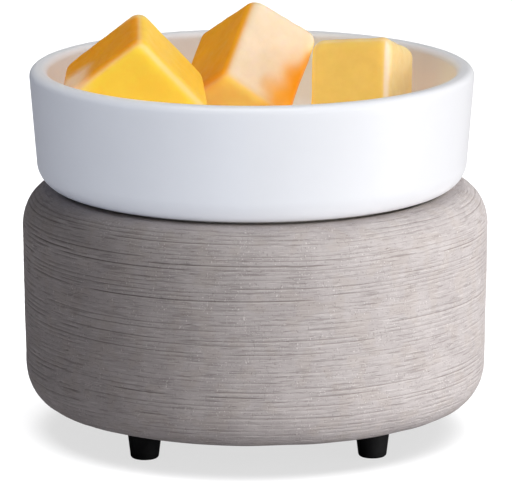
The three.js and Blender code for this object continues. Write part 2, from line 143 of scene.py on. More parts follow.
def mesh_object(
    name: str, vertices: np.ndarray, faces: list, sharp_degrees: float | None = None
) -> bpy.types.Object:
    """A smooth-shaded mesh object in the scene.

    Args:
        name: the object's name.
        vertices: n rows of x, y, z.
        faces: vertex numbers of each face.
        sharp_degrees: edges that turn more than this stay crisp; None leaves every edge smooth.

    Returns:
        The new object.
    """
    mesh = bpy.data.meshes.new(name)
    mesh.from_pydata([tuple(v) for v in vertices], [], faces)
    mesh.validate()
    mesh.polygons.foreach_set("use_smooth", [True] * len(mesh.polygons))
    if sharp_degrees is not None:
        mesh.set_sharp_from_angle(angle=math.radians(sharp_degrees))
    made = bpy.data.objects.new(name, mesh)
    bpy.context.scene.collection.objects.link(made)
    return made


def turns(segments: int, start: float = 0.0) -> np.ndarray:
    """Evenly spaced angles once round, from start."""
    return np.arange(segments) * 2 * np.pi / segments + start


def middle_of(node: str) -> Point:
    """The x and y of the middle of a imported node."""
    low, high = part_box(node)
    return (low.x + high.x) / 2, (low.y + high.y) / 2


def lay_back(piece: bpy.types.Object, level: float) -> None:
    """Turns a piece from its vertical axis to one along Y at a level."""
    piece.data.transform(Matrix.Translation((0, 0, level)) @ Matrix.Rotation(-math.pi / 2, 4, "X"))


def crease(piece: bpy.types.Object, degrees: float, chosen: Callable[[bmesh.types.BMEdge], bool]) -> None:
    """Keeps the chosen edges crisp where they turn enough.

    Args:
        piece: the piece.
        degrees: edges that turn less than this stay smooth.
        chosen: says which edges are looked at.
    """
    shape = bmesh.new()
    shape.from_mesh(piece.data)
    for edge in shape.edges:
        if edge.is_manifold and chosen(edge):
            edge.smooth = edge.calc_face_angle() < math.radians(degrees)
    shape.to_mesh(piece.data)
    shape.free()


def ring_faces(rings: int, segments: int, closed: bool) -> list:
    """Quads between neighbouring rings of vertices.

    Args:
        rings: how many rings there are.
        segments: how many vertices each ring has.
        closed: whether the last ring also joins the first.

    Returns:
        Four vertex numbers for each face, facing outwards for an outline that climbs its outer side.
    """
    faces = []
    for i in range(rings if closed else rings - 1):
        low = i * segments
        high = ((i + 1) % rings) * segments
        for j in range(segments):
            k = (j + 1) % segments
            faces.append((low + j, low + k, high + k, high + j))
    return faces


def turned(
    name: str, outline: Outline, segments: int, at: Point = (0.0, 0.0), sharp_degrees: float | None = 35.0
) -> bpy.types.Object:
    """A piece turned about a vertical axis.

    Args:
        name: the object's name.
        outline: radius and height from bottom to top on the outer side; it may start and end on the axis.
        segments: how many vertices go round.
        at: x and y of the axis.
        sharp_degrees: edges that turn more than this stay crisp.

    Returns:
        The new object, closed on the axis or back to its first ring.
    """
    poles = outline[0][0] == 0
    rings = outline[1:-1] if poles else outline
    angles = turns(segments)
    radius = np.array([p[0] for p in rings])[:, None]
    level = np.array([p[1] for p in rings])[:, None] + np.zeros(segments)
    x = at[0] + radius * np.cos(angles)
    y = at[1] + radius * np.sin(angles)
    vertices = np.stack([x, y, level], axis=2).reshape(-1, 3)
    faces = ring_faces(len(rings), segments, closed=not poles)
    if poles:
        bottom = len(vertices)
        ends = [[at[0], at[1], outline[0][1]], [at[0], at[1], outline[-1][1]]]
        vertices = np.vstack([vertices, ends])
        last = (len(rings) - 1) * segments
        for j in range(segments):
            k = (j + 1) % segments
            faces.append((bottom, k, j))
            faces.append((bottom + 1, last + j, last + k))
    return mesh_object(name, vertices, faces, sharp_degrees)


def joined(pieces: list[bpy.types.Object]) -> bpy.types.Object:
    """One object from several.

    Args:
        pieces: the objects; the first one stays.

    Returns:
        The first object, now holding every mesh.
    """
    with bpy.context.temp_override(
        active_object=pieces[0], object=pieces[0], selected_editable_objects=pieces, selected_objects=pieces
    ):
        bpy.ops.object.join()
    return pieces[0]


def carved(stock: bpy.types.Object, cutters: list[bpy.types.Object]) -> bpy.types.Object:
    """Cuts pieces out of another one.

    Args:
        stock: the piece that is cut.
        cutters: closed meshes; they are removed afterwards.

    Returns:
        The stock, with its new mesh applied.
    """
    for cutter in cutters:
        cut = stock.modifiers.new("cut", "BOOLEAN")
        cut.operation = "DIFFERENCE"
        cut.solver = "MANIFOLD"
        cut.object = cutter
    bpy.context.view_layer.update()
    graph = bpy.context.evaluated_depsgraph_get()
    result = bpy.data.meshes.new_from_object(stock.evaluated_get(graph), depsgraph=graph)
    stock.modifiers.clear()
    old = stock.data
    stock.data = result
    bpy.data.meshes.remove(old)
    result.name = stock.name
    for cutter in cutters:
        bpy.data.objects.remove(cutter)
    return stock


def prism(name: str, corners: list[Point], bottom: float, top: float) -> bpy.types.Object:
    """A straight-sided block over a flat outline.

    Args:
        name: the object's name.
        corners: x and y of the outline, counter-clockwise.
        bottom: lower level.
        top: upper level.

    Returns:
        The new object.
    """
    count = len(corners)
    vertices = np.array([[x, y, z] for z in (bottom, top) for x, y in corners])
    faces = [(j, (j + 1) % count, count + (j + 1) % count, count + j) for j in range(count)]
    faces.append(tuple(reversed(range(count))))
    faces.append(tuple(range(count, 2 * count)))
    return mesh_object(name, vertices, faces, sharp_degrees=35.0)


def slot_outline(middle: Point, angle: float, length: float, width: float) -> list[Point]:
    """Outline of a slot with round ends.

    Args:
        middle: x and y of its middle.
        angle: direction of its length in radians.
        length: overall length.
        width: width across.

    Returns:
        Its corners, counter-clockwise.
    """
    reach = (length - width) / 2
    turn = Matrix.Rotation(angle, 2)
    corners = []
    for side in (1, -1):
        for degrees in range(-90, 91, 15):
            bend = math.radians(degrees)
            local = Vector((side * (reach + width / 2 * math.cos(bend)), side * width / 2 * math.sin(bend)))
            spot = turn @ local
            corners.append((middle[0] + spot.x, middle[1] + spot.y))
    return corners


def polar(radius: float, degrees: float) -> Point:
    """The x and y of a place on a circle round the main axis."""
    return radius * math.cos(math.radians(degrees)), radius * math.sin(math.radians(degrees))


def coordinates(piece: bpy.types.Object) -> np.ndarray:
    """The piece's vertices as n rows of x, y, z."""
    found = np.zeros(len(piece.data.vertices) * 3)
    piece.data.vertices.foreach_get("co", found)
    return found.reshape(-1, 3)


def place_vertices(piece: bpy.types.Object, points: np.ndarray) -> None:
    """Writes n rows of x, y, z back to the piece's vertices."""
    piece.data.vertices.foreach_set("co", points.astype(np.float32).ravel())
    piece.data.update()


def write_value(piece: bpy.types.Object, name: str, values: np.ndarray) -> None:
    """Stores one number per vertex under a name that materials read."""
    layer = piece.data.attributes.new(name, "FLOAT", "POINT")
    layer.data.foreach_set("value", values.astype(np.float32).ravel())


def write_vector(piece: bpy.types.Object, name: str, values: np.ndarray) -> None:
    """Stores one vector per vertex under a name that materials read."""
    layer = piece.data.attributes.new(name, "FLOAT_VECTOR", "POINT")
    layer.data.foreach_set("vector", values.astype(np.float32).ravel())


def write_colour(piece: bpy.types.Object, name: str, values: np.ndarray) -> None:
    """Stores one colour per vertex under a name that materials read."""
    layer = piece.data.attributes.new(name, "FLOAT_COLOR", "POINT")
    layer.data.foreach_set("color", values.astype(np.float32).ravel())


# ---------------------------------------------------------------- node groups


@dataclass
class NodeBench:
    """Puts nodes into one node tree and links them."""

    tree: bpy.types.NodeTree

    def put(self, kind: str, feeds: dict | None = None, **settings: object) -> bpy.types.Node:
        """Adds one node.

        Args:
            kind: the node's type.
            feeds: input name or number, and the socket or value that goes into it.
            settings: properties of the node.

        Returns:
            The node.
        """
        node = self.tree.nodes.new(kind)
        for name, value in settings.items():
            setattr(node, name, value)
        for key, value in (feeds or {}).items():
            if isinstance(value, bpy.types.NodeSocket):
                self.tree.links.new(value, node.inputs[key])
            else:
                node.inputs[key].default_value = value
        return node

    def calc(self, operation: str, *values: object) -> bpy.types.NodeSocket:
        """The result of one Math node."""
        node = self.put("ShaderNodeMath", dict(enumerate(values)), operation=operation)
        return node.outputs[0]

    def vector_calc(self, operation: str, *values: object) -> bpy.types.NodeSocket:
        """The result of one Vector Math node."""
        node = self.put("ShaderNodeVectorMath", dict(enumerate(values)), operation=operation)
        return node.outputs[0]

    def spread(
        self, value: object, low: object, high: object, to_low: object = 0.0, to_high: object = 1.0
    ) -> bpy.types.NodeSocket:
        """A value mapped smoothly from one range to another."""
        feeds = {0: value, 1: low, 2: high, 3: to_low, 4: to_high}
        return self.put("ShaderNodeMapRange", feeds, interpolation_type="SMOOTHSTEP").outputs[0]

    def blend(self, share: object, first: object, second: object, mode: str = "MIX") -> bpy.types.NodeSocket:
        """One colour mixed with another.

        Args:
            share: how much of the second.
            first: the first colour.
            second: the second colour.
            mode: how they mix.

        Returns:
            The mixed colour's socket.
        """
        node = self.put("ShaderNodeMix", data_type="RGBA", blend_type=mode)
        for key, value in ((0, share), (6, first), (7, second)):
            if isinstance(value, bpy.types.NodeSocket):
                self.tree.links.new(value, node.inputs[key])
            else:
                node.inputs[key].default_value = (*value, 1.0) if isinstance(value, tuple) else value
        return node.outputs[2]

    def attribute(self, name: str, output: str = "Fac") -> bpy.types.NodeSocket:
        """What a piece's vertices hold under a name."""
        return self.put("ShaderNodeAttribute", attribute_name=name).outputs[output]

    def scaled(self, value: object, factor: object) -> bpy.types.NodeSocket:
        """One value times another."""
        return self.calc("MULTIPLY", value, factor)

    def dress(self, shader: bpy.types.Node, colour: object, rough: object, bump: dict) -> None:
        """Feeds a Principled shader.

        Args:
            shader: the shader.
            colour: its colour's socket.
            rough: its roughness's socket.
            bump: the Bump node's Height, Strength and Distance.
        """
        relief = self.put("ShaderNodeBump", bump).outputs[0]
        for name, value in (("Base Color", colour), ("Roughness", rough), ("Normal", relief)):
            self.tree.links.new(value, shader.inputs[name])

    def noise(
        self, vector: object, scale: object, detail: float = 2.0, roughness: float = 0.5
    ) -> bpy.types.NodeSocket:
        """The value of one noise texture."""
        feeds = {"Vector": vector, "Scale": scale, "Detail": detail, "Roughness": roughness}
        return self.put("ShaderNodeTexNoise", feeds).outputs[0]


class Kind(Enum):
    """Kinds of group socket."""

    NUMBER = "NodeSocketFloat"
    COLOUR = "NodeSocketColor"
    PLACE = "NodeSocketVector"


@dataclass
class Effects:
    """Shader effects that several finishes share, each built once as a node group."""

    built: dict[str, bpy.types.NodeTree] = field(default_factory=dict)

    def start(self, name: str, takes: dict[str, Kind], gives: dict[str, Kind]) -> tuple:
        """Opens a new group.

        Args:
            name: the group's name.
            takes: its inputs.
            gives: its outputs.

        Returns:
            A bench for its tree, its input node and its output node.
        """
        tree = bpy.data.node_groups.new(name, "ShaderNodeTree")
        for socket, kind in takes.items():
            tree.interface.new_socket(name=socket, in_out="INPUT", socket_type=kind.value)
        for socket, kind in gives.items():
            tree.interface.new_socket(name=socket, in_out="OUTPUT", socket_type=kind.value)
        self.built[name] = tree
        bench = NodeBench(tree)
        return bench, bench.put("NodeGroupInput"), bench.put("NodeGroupOutput")

    def use(self, bench: NodeBench, name: str, **feeds: object) -> bpy.types.Node:
        """Places a group in a material.

        Args:
            bench: the material's bench.
            name: which effect: mottle, vary, strands or grain.
            feeds: its inputs by name.

        Returns:
            The group's node.
        """
        if name not in self.built:
            getattr(self, f"make_{name}")()
        node = bench.put("ShaderNodeGroup", node_tree=self.built[name])
        for key, value in feeds.items():
            if isinstance(value, bpy.types.NodeSocket):
                bench.tree.links.new(value, node.inputs[key])
            else:
                node.inputs[key].default_value = (*value, 1.0) if isinstance(value, tuple) else value
        return node

    def make_mottle(self) -> None:
        """Builds the group for a colour that drifts between two tones."""
        takes = {"Vector": Kind.PLACE, "Size": Kind.NUMBER, "Low": Kind.COLOUR, "High": Kind.COLOUR}
        bench, given, result = self.start("mottle", takes, {"Color": Kind.COLOUR})
        scale = bench.calc("DIVIDE", 1.0, given.outputs["Size"])
        cloud = bench.noise(given.outputs["Vector"], scale, detail=4.0, roughness=0.6)
        share = bench.spread(cloud, 0.32, 0.68)
        colour = bench.blend(share, given.outputs["Low"], given.outputs["High"])
        bench.tree.links.new(colour, result.inputs["Color"])

    def make_vary(self) -> None:
        """Builds the group for a value that drifts between two limits."""
        takes = {"Vector": Kind.PLACE, "Size": Kind.NUMBER, "Low": Kind.NUMBER, "High": Kind.NUMBER}
        bench, given, result = self.start("vary", takes, {"Value": Kind.NUMBER})
        scale = bench.calc("DIVIDE", 1.0, given.outputs["Size"])
        cloud = bench.noise(given.outputs["Vector"], scale, detail=3.0, roughness=0.55)
        value = bench.spread(cloud, 0.3, 0.7, given.outputs["Low"], given.outputs["High"])
        bench.tree.links.new(value, result.inputs["Value"])

    def make_strands(self) -> None:
        """Builds the group for long thin broken lines that lie along the first two axes of its vector."""
        takes = {"Vector": Kind.PLACE, "Along": Kind.NUMBER, "Across": Kind.NUMBER, "Cover": Kind.NUMBER}
        bench, given, result = self.start("strands", takes, {"Line": Kind.NUMBER, "Height": Kind.NUMBER})
        along = bench.calc("DIVIDE", 1.0, given.outputs["Along"])
        across = bench.calc("DIVIDE", 1.0, given.outputs["Across"])
        stretch = bench.put("ShaderNodeCombineXYZ", {0: along, 1: along, 2: across}).outputs[0]
        place = bench.vector_calc("MULTIPLY", given.outputs["Vector"], stretch)
        streak = bench.noise(place, 1.0, detail=2.0, roughness=0.6)
        edge = bench.calc("SUBTRACT", 0.72, bench.calc("MULTIPLY", given.outputs["Cover"], 0.3))
        line = bench.spread(streak, edge, bench.calc("ADD", edge, 0.07))
        bench.tree.links.new(line, result.inputs["Line"])
        bench.tree.links.new(streak, result.inputs["Height"])

    def make_grain(self) -> None:
        """Builds the group for scattered specks and the small relief that goes with them."""
        takes = {"Vector": Kind.PLACE, "Size": Kind.NUMBER, "Cover": Kind.NUMBER}
        bench, given, result = self.start("grain", takes, {"Speck": Kind.NUMBER, "Height": Kind.NUMBER})
        scale = bench.calc("DIVIDE", 1.0, given.outputs["Size"])
        grit = bench.noise(given.outputs["Vector"], scale, detail=1.0, roughness=0.5)
        edge = bench.calc("SUBTRACT", 0.82, bench.calc("MULTIPLY", given.outputs["Cover"], 0.4))
        speck = bench.spread(grit, edge, bench.calc("ADD", edge, 0.08))
        bench.tree.links.new(speck, result.inputs["Speck"])
        bench.tree.links.new(grit, result.inputs["Height"])


EFFECTS = Effects()


# ---------------------------------------------------------------- finishes


def open_material(name: str) -> tuple[bpy.types.Material, NodeBench, bpy.types.Node]:
    """A new material with its Principled shader.

    Args:
        name: the material's name.

    Returns:
        The material, a bench for its nodes and the shader.
    """
    material = bpy.data.materials.new(name)
    material.use_nodes = True
    shader = material.node_tree.nodes["Principled BSDF"]
    return material, NodeBench(material.node_tree), shader


@dataclass(frozen=True)
class Stoneware:
    """Matt grey-taupe clay, combed while damp, bare inside; its grooves, pits and fine lines darken with
    painted shade as well as pigment.
    """

    dark: Colour = (0.425, 0.385, 0.383)
    light: Colour = (0.480, 0.440, 0.437)
    # Painted shade with some pigment: the dark colour of the combed grooves, pits and fine lines.
    groove_shade_and_pigment: Colour = (0.185, 0.150, 0.143)
    burr: Colour = (0.640, 0.600, 0.590)
    warm: Colour = (0.440, 0.385, 0.355)
    rough_low: float = 0.78
    rough_high: float = 0.95
    warm_share: float = 0.35
    long_share: float = 0.38
    short_share: float = 0.26
    pit_share: float = 0.35
    chatter_share: float = 0.22
    pale_share: float = 0.45
    salt_least: float = 0.35
    burr_share: float = 0.55
    groove_shade_and_pigment_share: float = 0.88
    relief: float = 0.65
    relief_depth: float = 0.00020
    gloss: float = 0.25

    def lines(
        self, bench: NodeBench, comb: bpy.types.NodeSocket, along: float, across: float, cover: float
    ) -> bpy.types.bpy_prop_collection:
        """One layer of fine combed lines, by their length, width and cover."""
        return EFFECTS.use(bench, "strands", Vector=comb, Along=along, Across=across, Cover=cover).outputs

    def specks(
        self, bench: NodeBench, comb: bpy.types.NodeSocket, size: float, cover: float
    ) -> bpy.types.NodeSocket:
        """One layer of specks, by their size and cover."""
        return EFFECTS.use(bench, "grain", Vector=comb, Size=size, Cover=cover).outputs["Speck"]

    def material(self) -> bpy.types.Material:
        """Builds the material, which reads the attributes comb, groove, burr and skin.

        Returns:
            The material.
        """
        material, bench, shader = open_material("stoneware_body")
        comb = bench.attribute("comb", "Vector")
        groove_shade_and_pigment = bench.attribute("groove_shade_and_pigment")
        burr = bench.attribute("burr")
        skin = bench.attribute("skin")
        clay = EFFECTS.use(bench, "mottle", Vector=comb, Size=0.009, Low=self.dark, High=self.light)
        warm_spots = self.specks(bench, comb, 0.006, 0.75)
        tone = bench.blend(bench.scaled(warm_spots, self.warm_share), clay.outputs[0], self.warm)
        long_lines = self.lines(bench, comb, 0.011, 0.00060, 0.42)
        short_lines = self.lines(bench, comb, 0.004, 0.00034, 0.50)
        pale_lines = self.lines(bench, comb, 0.007, 0.00045, 0.45)
        pits = self.specks(bench, comb, 0.00055, 0.42)
        salt = self.specks(bench, comb, 0.00050, 0.46)
        ticks = self.lines(bench, comb, 0.00042, 0.0016, 0.40)
        rough_spots = self.specks(bench, comb, 0.0050, 0.80)
        chatter = bench.scaled(ticks["Line"], rough_spots)
        fine = bench.scaled(long_lines["Line"], self.long_share)
        fine = bench.calc("MAXIMUM", fine, bench.scaled(short_lines["Line"], self.short_share))
        fine = bench.calc("MAXIMUM", fine, bench.scaled(pits, self.pit_share))
        fine = bench.calc("MAXIMUM", fine, bench.scaled(chatter, self.chatter_share))
        # Fine lines, pits and chatter take the dark colour: painted shade in these small hollows, with some
        # pigment.
        tone = bench.blend(bench.scaled(fine, skin), tone, self.groove_shade_and_pigment)
        scatter = bench.calc("ADD", self.salt_least, bench.scaled(rough_spots, 1 - self.salt_least))
        pale = bench.scaled(pale_lines["Line"], self.pale_share)
        pale = bench.calc("MAXIMUM", pale, bench.scaled(salt, scatter))
        pale = bench.calc("MAXIMUM", bench.scaled(pale, skin), bench.scaled(burr, self.burr_share))
        tone = bench.blend(pale, tone, self.burr)
        # The comb grooves take the dark colour by their depth: painted shade in the grooves, with some
        # pigment.
        tone = bench.blend(bench.scaled(groove_shade_and_pigment, self.groove_shade_and_pigment_share), tone, self.groove_shade_and_pigment)
        rough = EFFECTS.use(
            bench, "vary", Vector=comb, Size=0.003, Low=self.rough_low, High=self.rough_high
        ).outputs[0]
        heights = (
            (long_lines["Line"], -0.55),
            (short_lines["Height"], -0.5),
            (pale_lines["Line"], 0.3),
            (salt, 0.5),
            (pits, -0.5),
            (chatter, -0.4),
        )
        relief = 0.0
        for layer, height in heights:
            relief = bench.calc("ADD", relief, bench.scaled(layer, height))
        bump = {"Height": relief, "Strength": self.relief, "Distance": self.relief_depth}
        bench.dress(shader, tone, rough, bump)
        shader.inputs["Specular IOR Level"].default_value = self.gloss
        return material


@dataclass(frozen=True)
class SatinGlaze:
    """Smooth white glaze with a soft sheen; the foot ring below bare_level is unglazed."""

    low: Colour = (0.858, 0.864, 0.876)
    high: Colour = (0.872, 0.878, 0.890)
    bare: Colour = (0.700, 0.660, 0.590)
    bare_level: float = 0.0683
    bare_blend: float = 0.0004
    bare_rough: float = 0.8
    rough_low: float = 0.30
    rough_high: float = 0.34
    relief: float = 0.12
    relief_depth: float = 0.0002
    peel_scale: float = 260.0

    def material(self) -> bpy.types.Material:
        """Builds the material.

        Returns:
            The material.
        """
        material, bench, shader = open_material("dish_glaze")
        place = bench.put("ShaderNodeTexCoord").outputs["Object"]
        glaze = EFFECTS.use(bench, "mottle", Vector=place, Size=0.02, Low=self.low, High=self.high)
        level = bench.put("ShaderNodeSeparateXYZ", {0: place}).outputs[2]
        bare = bench.spread(level, self.bare_level + self.bare_blend, self.bare_level)
        specks = EFFECTS.use(bench, "grain", Vector=place, Size=0.0006, Cover=0.4)
        clay = bench.blend(bench.scaled(specks.outputs["Speck"], 0.4), self.bare, self.low)
        tone = bench.blend(bare, glaze.outputs[0], clay)
        sheen = EFFECTS.use(
            bench, "vary", Vector=place, Size=0.012, Low=self.rough_low, High=self.rough_high
        )
        rough = bench.spread(bare, 0.0, 1.0, sheen.outputs[0], self.bare_rough)
        peel = bench.noise(place, self.peel_scale, detail=1.0)
        grit = bench.scaled(specks.outputs["Height"], bare)
        bump = {
            "Height": bench.calc("ADD", peel, grit),
            "Strength": self.relief,
            "Distance": self.relief_depth,
        }
        bench.dress(shader, tone, rough, bump)
        return material


@dataclass(frozen=True)
class WaxMelt:
    """Translucent amber wax; its glow and spill stand in for the light that crosses a block."""

    depth: float = 0.010
    scatter: float = 0.55
    glow: float = 0.11
    spill: float = 0.40
    rough_low: float = 0.30
    rough_high: float = 0.52
    bloom_rough: float = 0.18
    frost_height: float = 0.35
    relief: float = 0.22
    relief_depth: float = 0.0004
    soft_scale: float = 420.0
    gloss: float = 0.25
    cloud_low: Colour = (0.95, 0.93, 0.89)
    cloud_high: Colour = (1.0, 1.0, 1.0)
    scatter_reach: Colour = (1.0, 0.55, 0.16)

    def material(self) -> bpy.types.Material:
        """Builds the material, which reads the attributes tone, grain_place and bloom.

        Returns:
            The material.
        """
        material, bench, shader = open_material("wax_melt")
        tone = bench.attribute("tone", "Color")
        place = bench.attribute("grain_place", "Vector")
        bloom = bench.attribute("bloom")
        shade = EFFECTS.use(
            bench, "mottle", Vector=place, Size=0.007, Low=self.cloud_low, High=self.cloud_high
        ).outputs[0]
        colour = bench.blend(1.0, tone, shade, "MULTIPLY")
        frost = EFFECTS.use(bench, "grain", Vector=place, Size=0.0030, Cover=0.8)
        rough = EFFECTS.use(
            bench, "vary", Vector=place, Size=0.004, Low=self.rough_low, High=self.rough_high
        ).outputs[0]
        rough = bench.calc("ADD", rough, bench.scaled(bloom, self.bloom_rough))
        soft = bench.noise(place, self.soft_scale, detail=3.0)
        relief = bench.calc("ADD", soft, bench.scaled(frost.outputs["Height"], self.frost_height))
        bump = {"Height": relief, "Strength": self.relief, "Distance": self.relief_depth}
        bench.dress(shader, colour, rough, bump)
        bench.tree.links.new(colour, shader.inputs["Emission Color"])
        direct = bench.put("ShaderNodeLightPath").outputs["Is Camera Ray"]
        strength = bench.put("ShaderNodeMapRange", {0: direct, 3: self.spill, 4: self.glow}).outputs[0]
        bench.tree.links.new(strength, shader.inputs["Emission Strength"])
        shader.inputs["Subsurface Weight"].default_value = self.scatter
        shader.inputs["Subsurface Radius"].default_value = self.scatter_reach
        shader.inputs["Subsurface Scale"].default_value = self.depth
        shader.inputs["Specular IOR Level"].default_value = self.gloss
        return material


class Surface(Enum):
    """How the small relief of a workshop finish lies."""

    CAST = "even fine relief"
    TURNED = "rings round the main axis"
    ROLLED = "long marks along X"
    WOVEN = "threads that cross"
    FIBROUS = "soft matted threads"


@dataclass(frozen=True)
class WorkshopFinish:
    """Finish of a metal, rubber, board or moulded piece."""

    name: str
    low: Colour
    high: Colour
    rough_low: float
    rough_high: float
    metallic: float = 0.0
    surface: Surface = Surface.CAST
    size: float = 0.004
    relief: float = 0.25
    fineness: float = 0.0006
    gloss: float = 0.5
    relief_depth: float = 0.0003

    def relief_height(self, bench: NodeBench, place: bpy.types.NodeSocket) -> bpy.types.NodeSocket:
        """The height pattern of the surface.

        Args:
            bench: the material's bench.
            place: the coordinates it is read at.

        Returns:
            The height's socket.
        """
        if self.surface is Surface.TURNED:
            flat = bench.vector_calc("MULTIPLY", place, (1.0, 1.0, 0.0))
            length = bench.put("ShaderNodeVectorMath", {0: flat}, operation="LENGTH").outputs["Value"]
            lathe = bench.put("ShaderNodeCombineXYZ", {2: length}).outputs[0]
            marks = EFFECTS.use(bench, "strands", Vector=lathe, Along=0.02, Across=self.fineness, Cover=0.6)
            return marks.outputs["Height"]
        if self.surface is Surface.ROLLED:
            marks = EFFECTS.use(bench, "strands", Vector=place, Along=0.006, Across=self.fineness, Cover=0.6)
            return marks.outputs["Height"]
        if self.surface is Surface.WOVEN:
            threads = []
            for slant in (1.0, -1.0):
                leaning = bench.vector_calc("MULTIPLY", place, (1.0, 1.0, slant))
                feeds = {"Vector": leaning, "Scale": 1 / self.fineness / 6.0, "Distortion": 1.5}
                threads.append(bench.put("ShaderNodeTexWave", feeds, bands_direction="DIAGONAL"))
            return bench.calc("MAXIMUM", *(thread.outputs["Fac"] for thread in threads))
        if self.surface is Surface.FIBROUS:
            return bench.noise(place, 1 / self.fineness, detail=5.0, roughness=0.75)
        return EFFECTS.use(bench, "grain", Vector=place, Size=self.fineness, Cover=0.5).outputs["Height"]

    def material(self) -> bpy.types.Material:
        """Builds the material.

        Returns:
            The material.
        """
        material, bench, shader = open_material(self.name)
        place = bench.put("ShaderNodeTexCoord").outputs["Object"]
        colour = EFFECTS.use(bench, "mottle", Vector=place, Size=self.size, Low=self.low, High=self.high)
        rough = EFFECTS.use(
            bench, "vary", Vector=place, Size=self.size * 0.6, Low=self.rough_low, High=self.rough_high
        )
        height = self.relief_height(bench, place)
        bump = {"Height": height, "Strength": self.relief, "Distance": self.relief_depth}
        bench.dress(shader, colour.outputs[0], rough.outputs[0], bump)
        shader.inputs["Metallic"].default_value = self.metallic
        shader.inputs["Specular IOR Level"].default_value = self.gloss
        return material


RUBBER = WorkshopFinish(
    "black_rubber", (0.0030, 0.0030, 0.0036), (0.0055, 0.0055, 0.0064), 0.58, 0.72, relief=0.15, gloss=0.22
)
ALUMINIUM = WorkshopFinish(
    "plate_aluminium",
    (0.56, 0.57, 0.58),
    (0.68, 0.69, 0.70),
    0.34,
    0.48,
    metallic=1.0,
    surface=Surface.TURNED,
    size=0.01,
    relief=0.35,
    fineness=0.0005,
)
SILICONE = WorkshopFinish("gasket_silicone", (0.40, 0.085, 0.04), (0.48, 0.12, 0.06), 0.5, 0.65)
MICA = WorkshopFinish(
    "mica_board", (0.36, 0.29, 0.19), (0.56, 0.47, 0.33), 0.35, 0.6, 0.0, Surface.FIBROUS, 0.003, 0.4, 0.0012
)
FIBRE = WorkshopFinish(
    "fibre_pad", (0.76, 0.73, 0.66), (0.86, 0.83, 0.77), 0.9, 1.0, 0.0, Surface.FIBROUS, 0.005, 0.9, 0.0008
)
ZINC = WorkshopFinish(
    "zinc_steel", (0.52, 0.53, 0.56), (0.68, 0.69, 0.70), 0.24, 0.42, 1.0, Surface.ROLLED, 0.005, 0.2, 0.0004
)
POWDER_COAT = WorkshopFinish(
    "black_steel",
    (0.016, 0.016, 0.017),
    (0.026, 0.026, 0.027),
    0.42,
    0.56,
    size=0.01,
    relief=0.5,
    fineness=0.0009,
)
STEATITE = WorkshopFinish("steatite", (0.74, 0.72, 0.66), (0.83, 0.81, 0.75), 0.45, 0.6)
BAKELITE = WorkshopFinish("black_bakelite", (0.022, 0.016, 0.013), (0.036, 0.027, 0.021), 0.3, 0.45)
SLEEVE = WorkshopFinish(
    "lead_sleeve", (0.64, 0.62, 0.55), (0.76, 0.74, 0.68), 0.8, 0.92, 0.0, Surface.WOVEN, 0.003, 0.6, 0.0005
)
BRASS = WorkshopFinish(
    "brass", (0.62, 0.44, 0.17), (0.76, 0.58, 0.27), 0.25, 0.42, 1.0, Surface.ROLLED, 0.004, 0.2, 0.0004
)


# ---------------------------------------------------------------- ceramic body


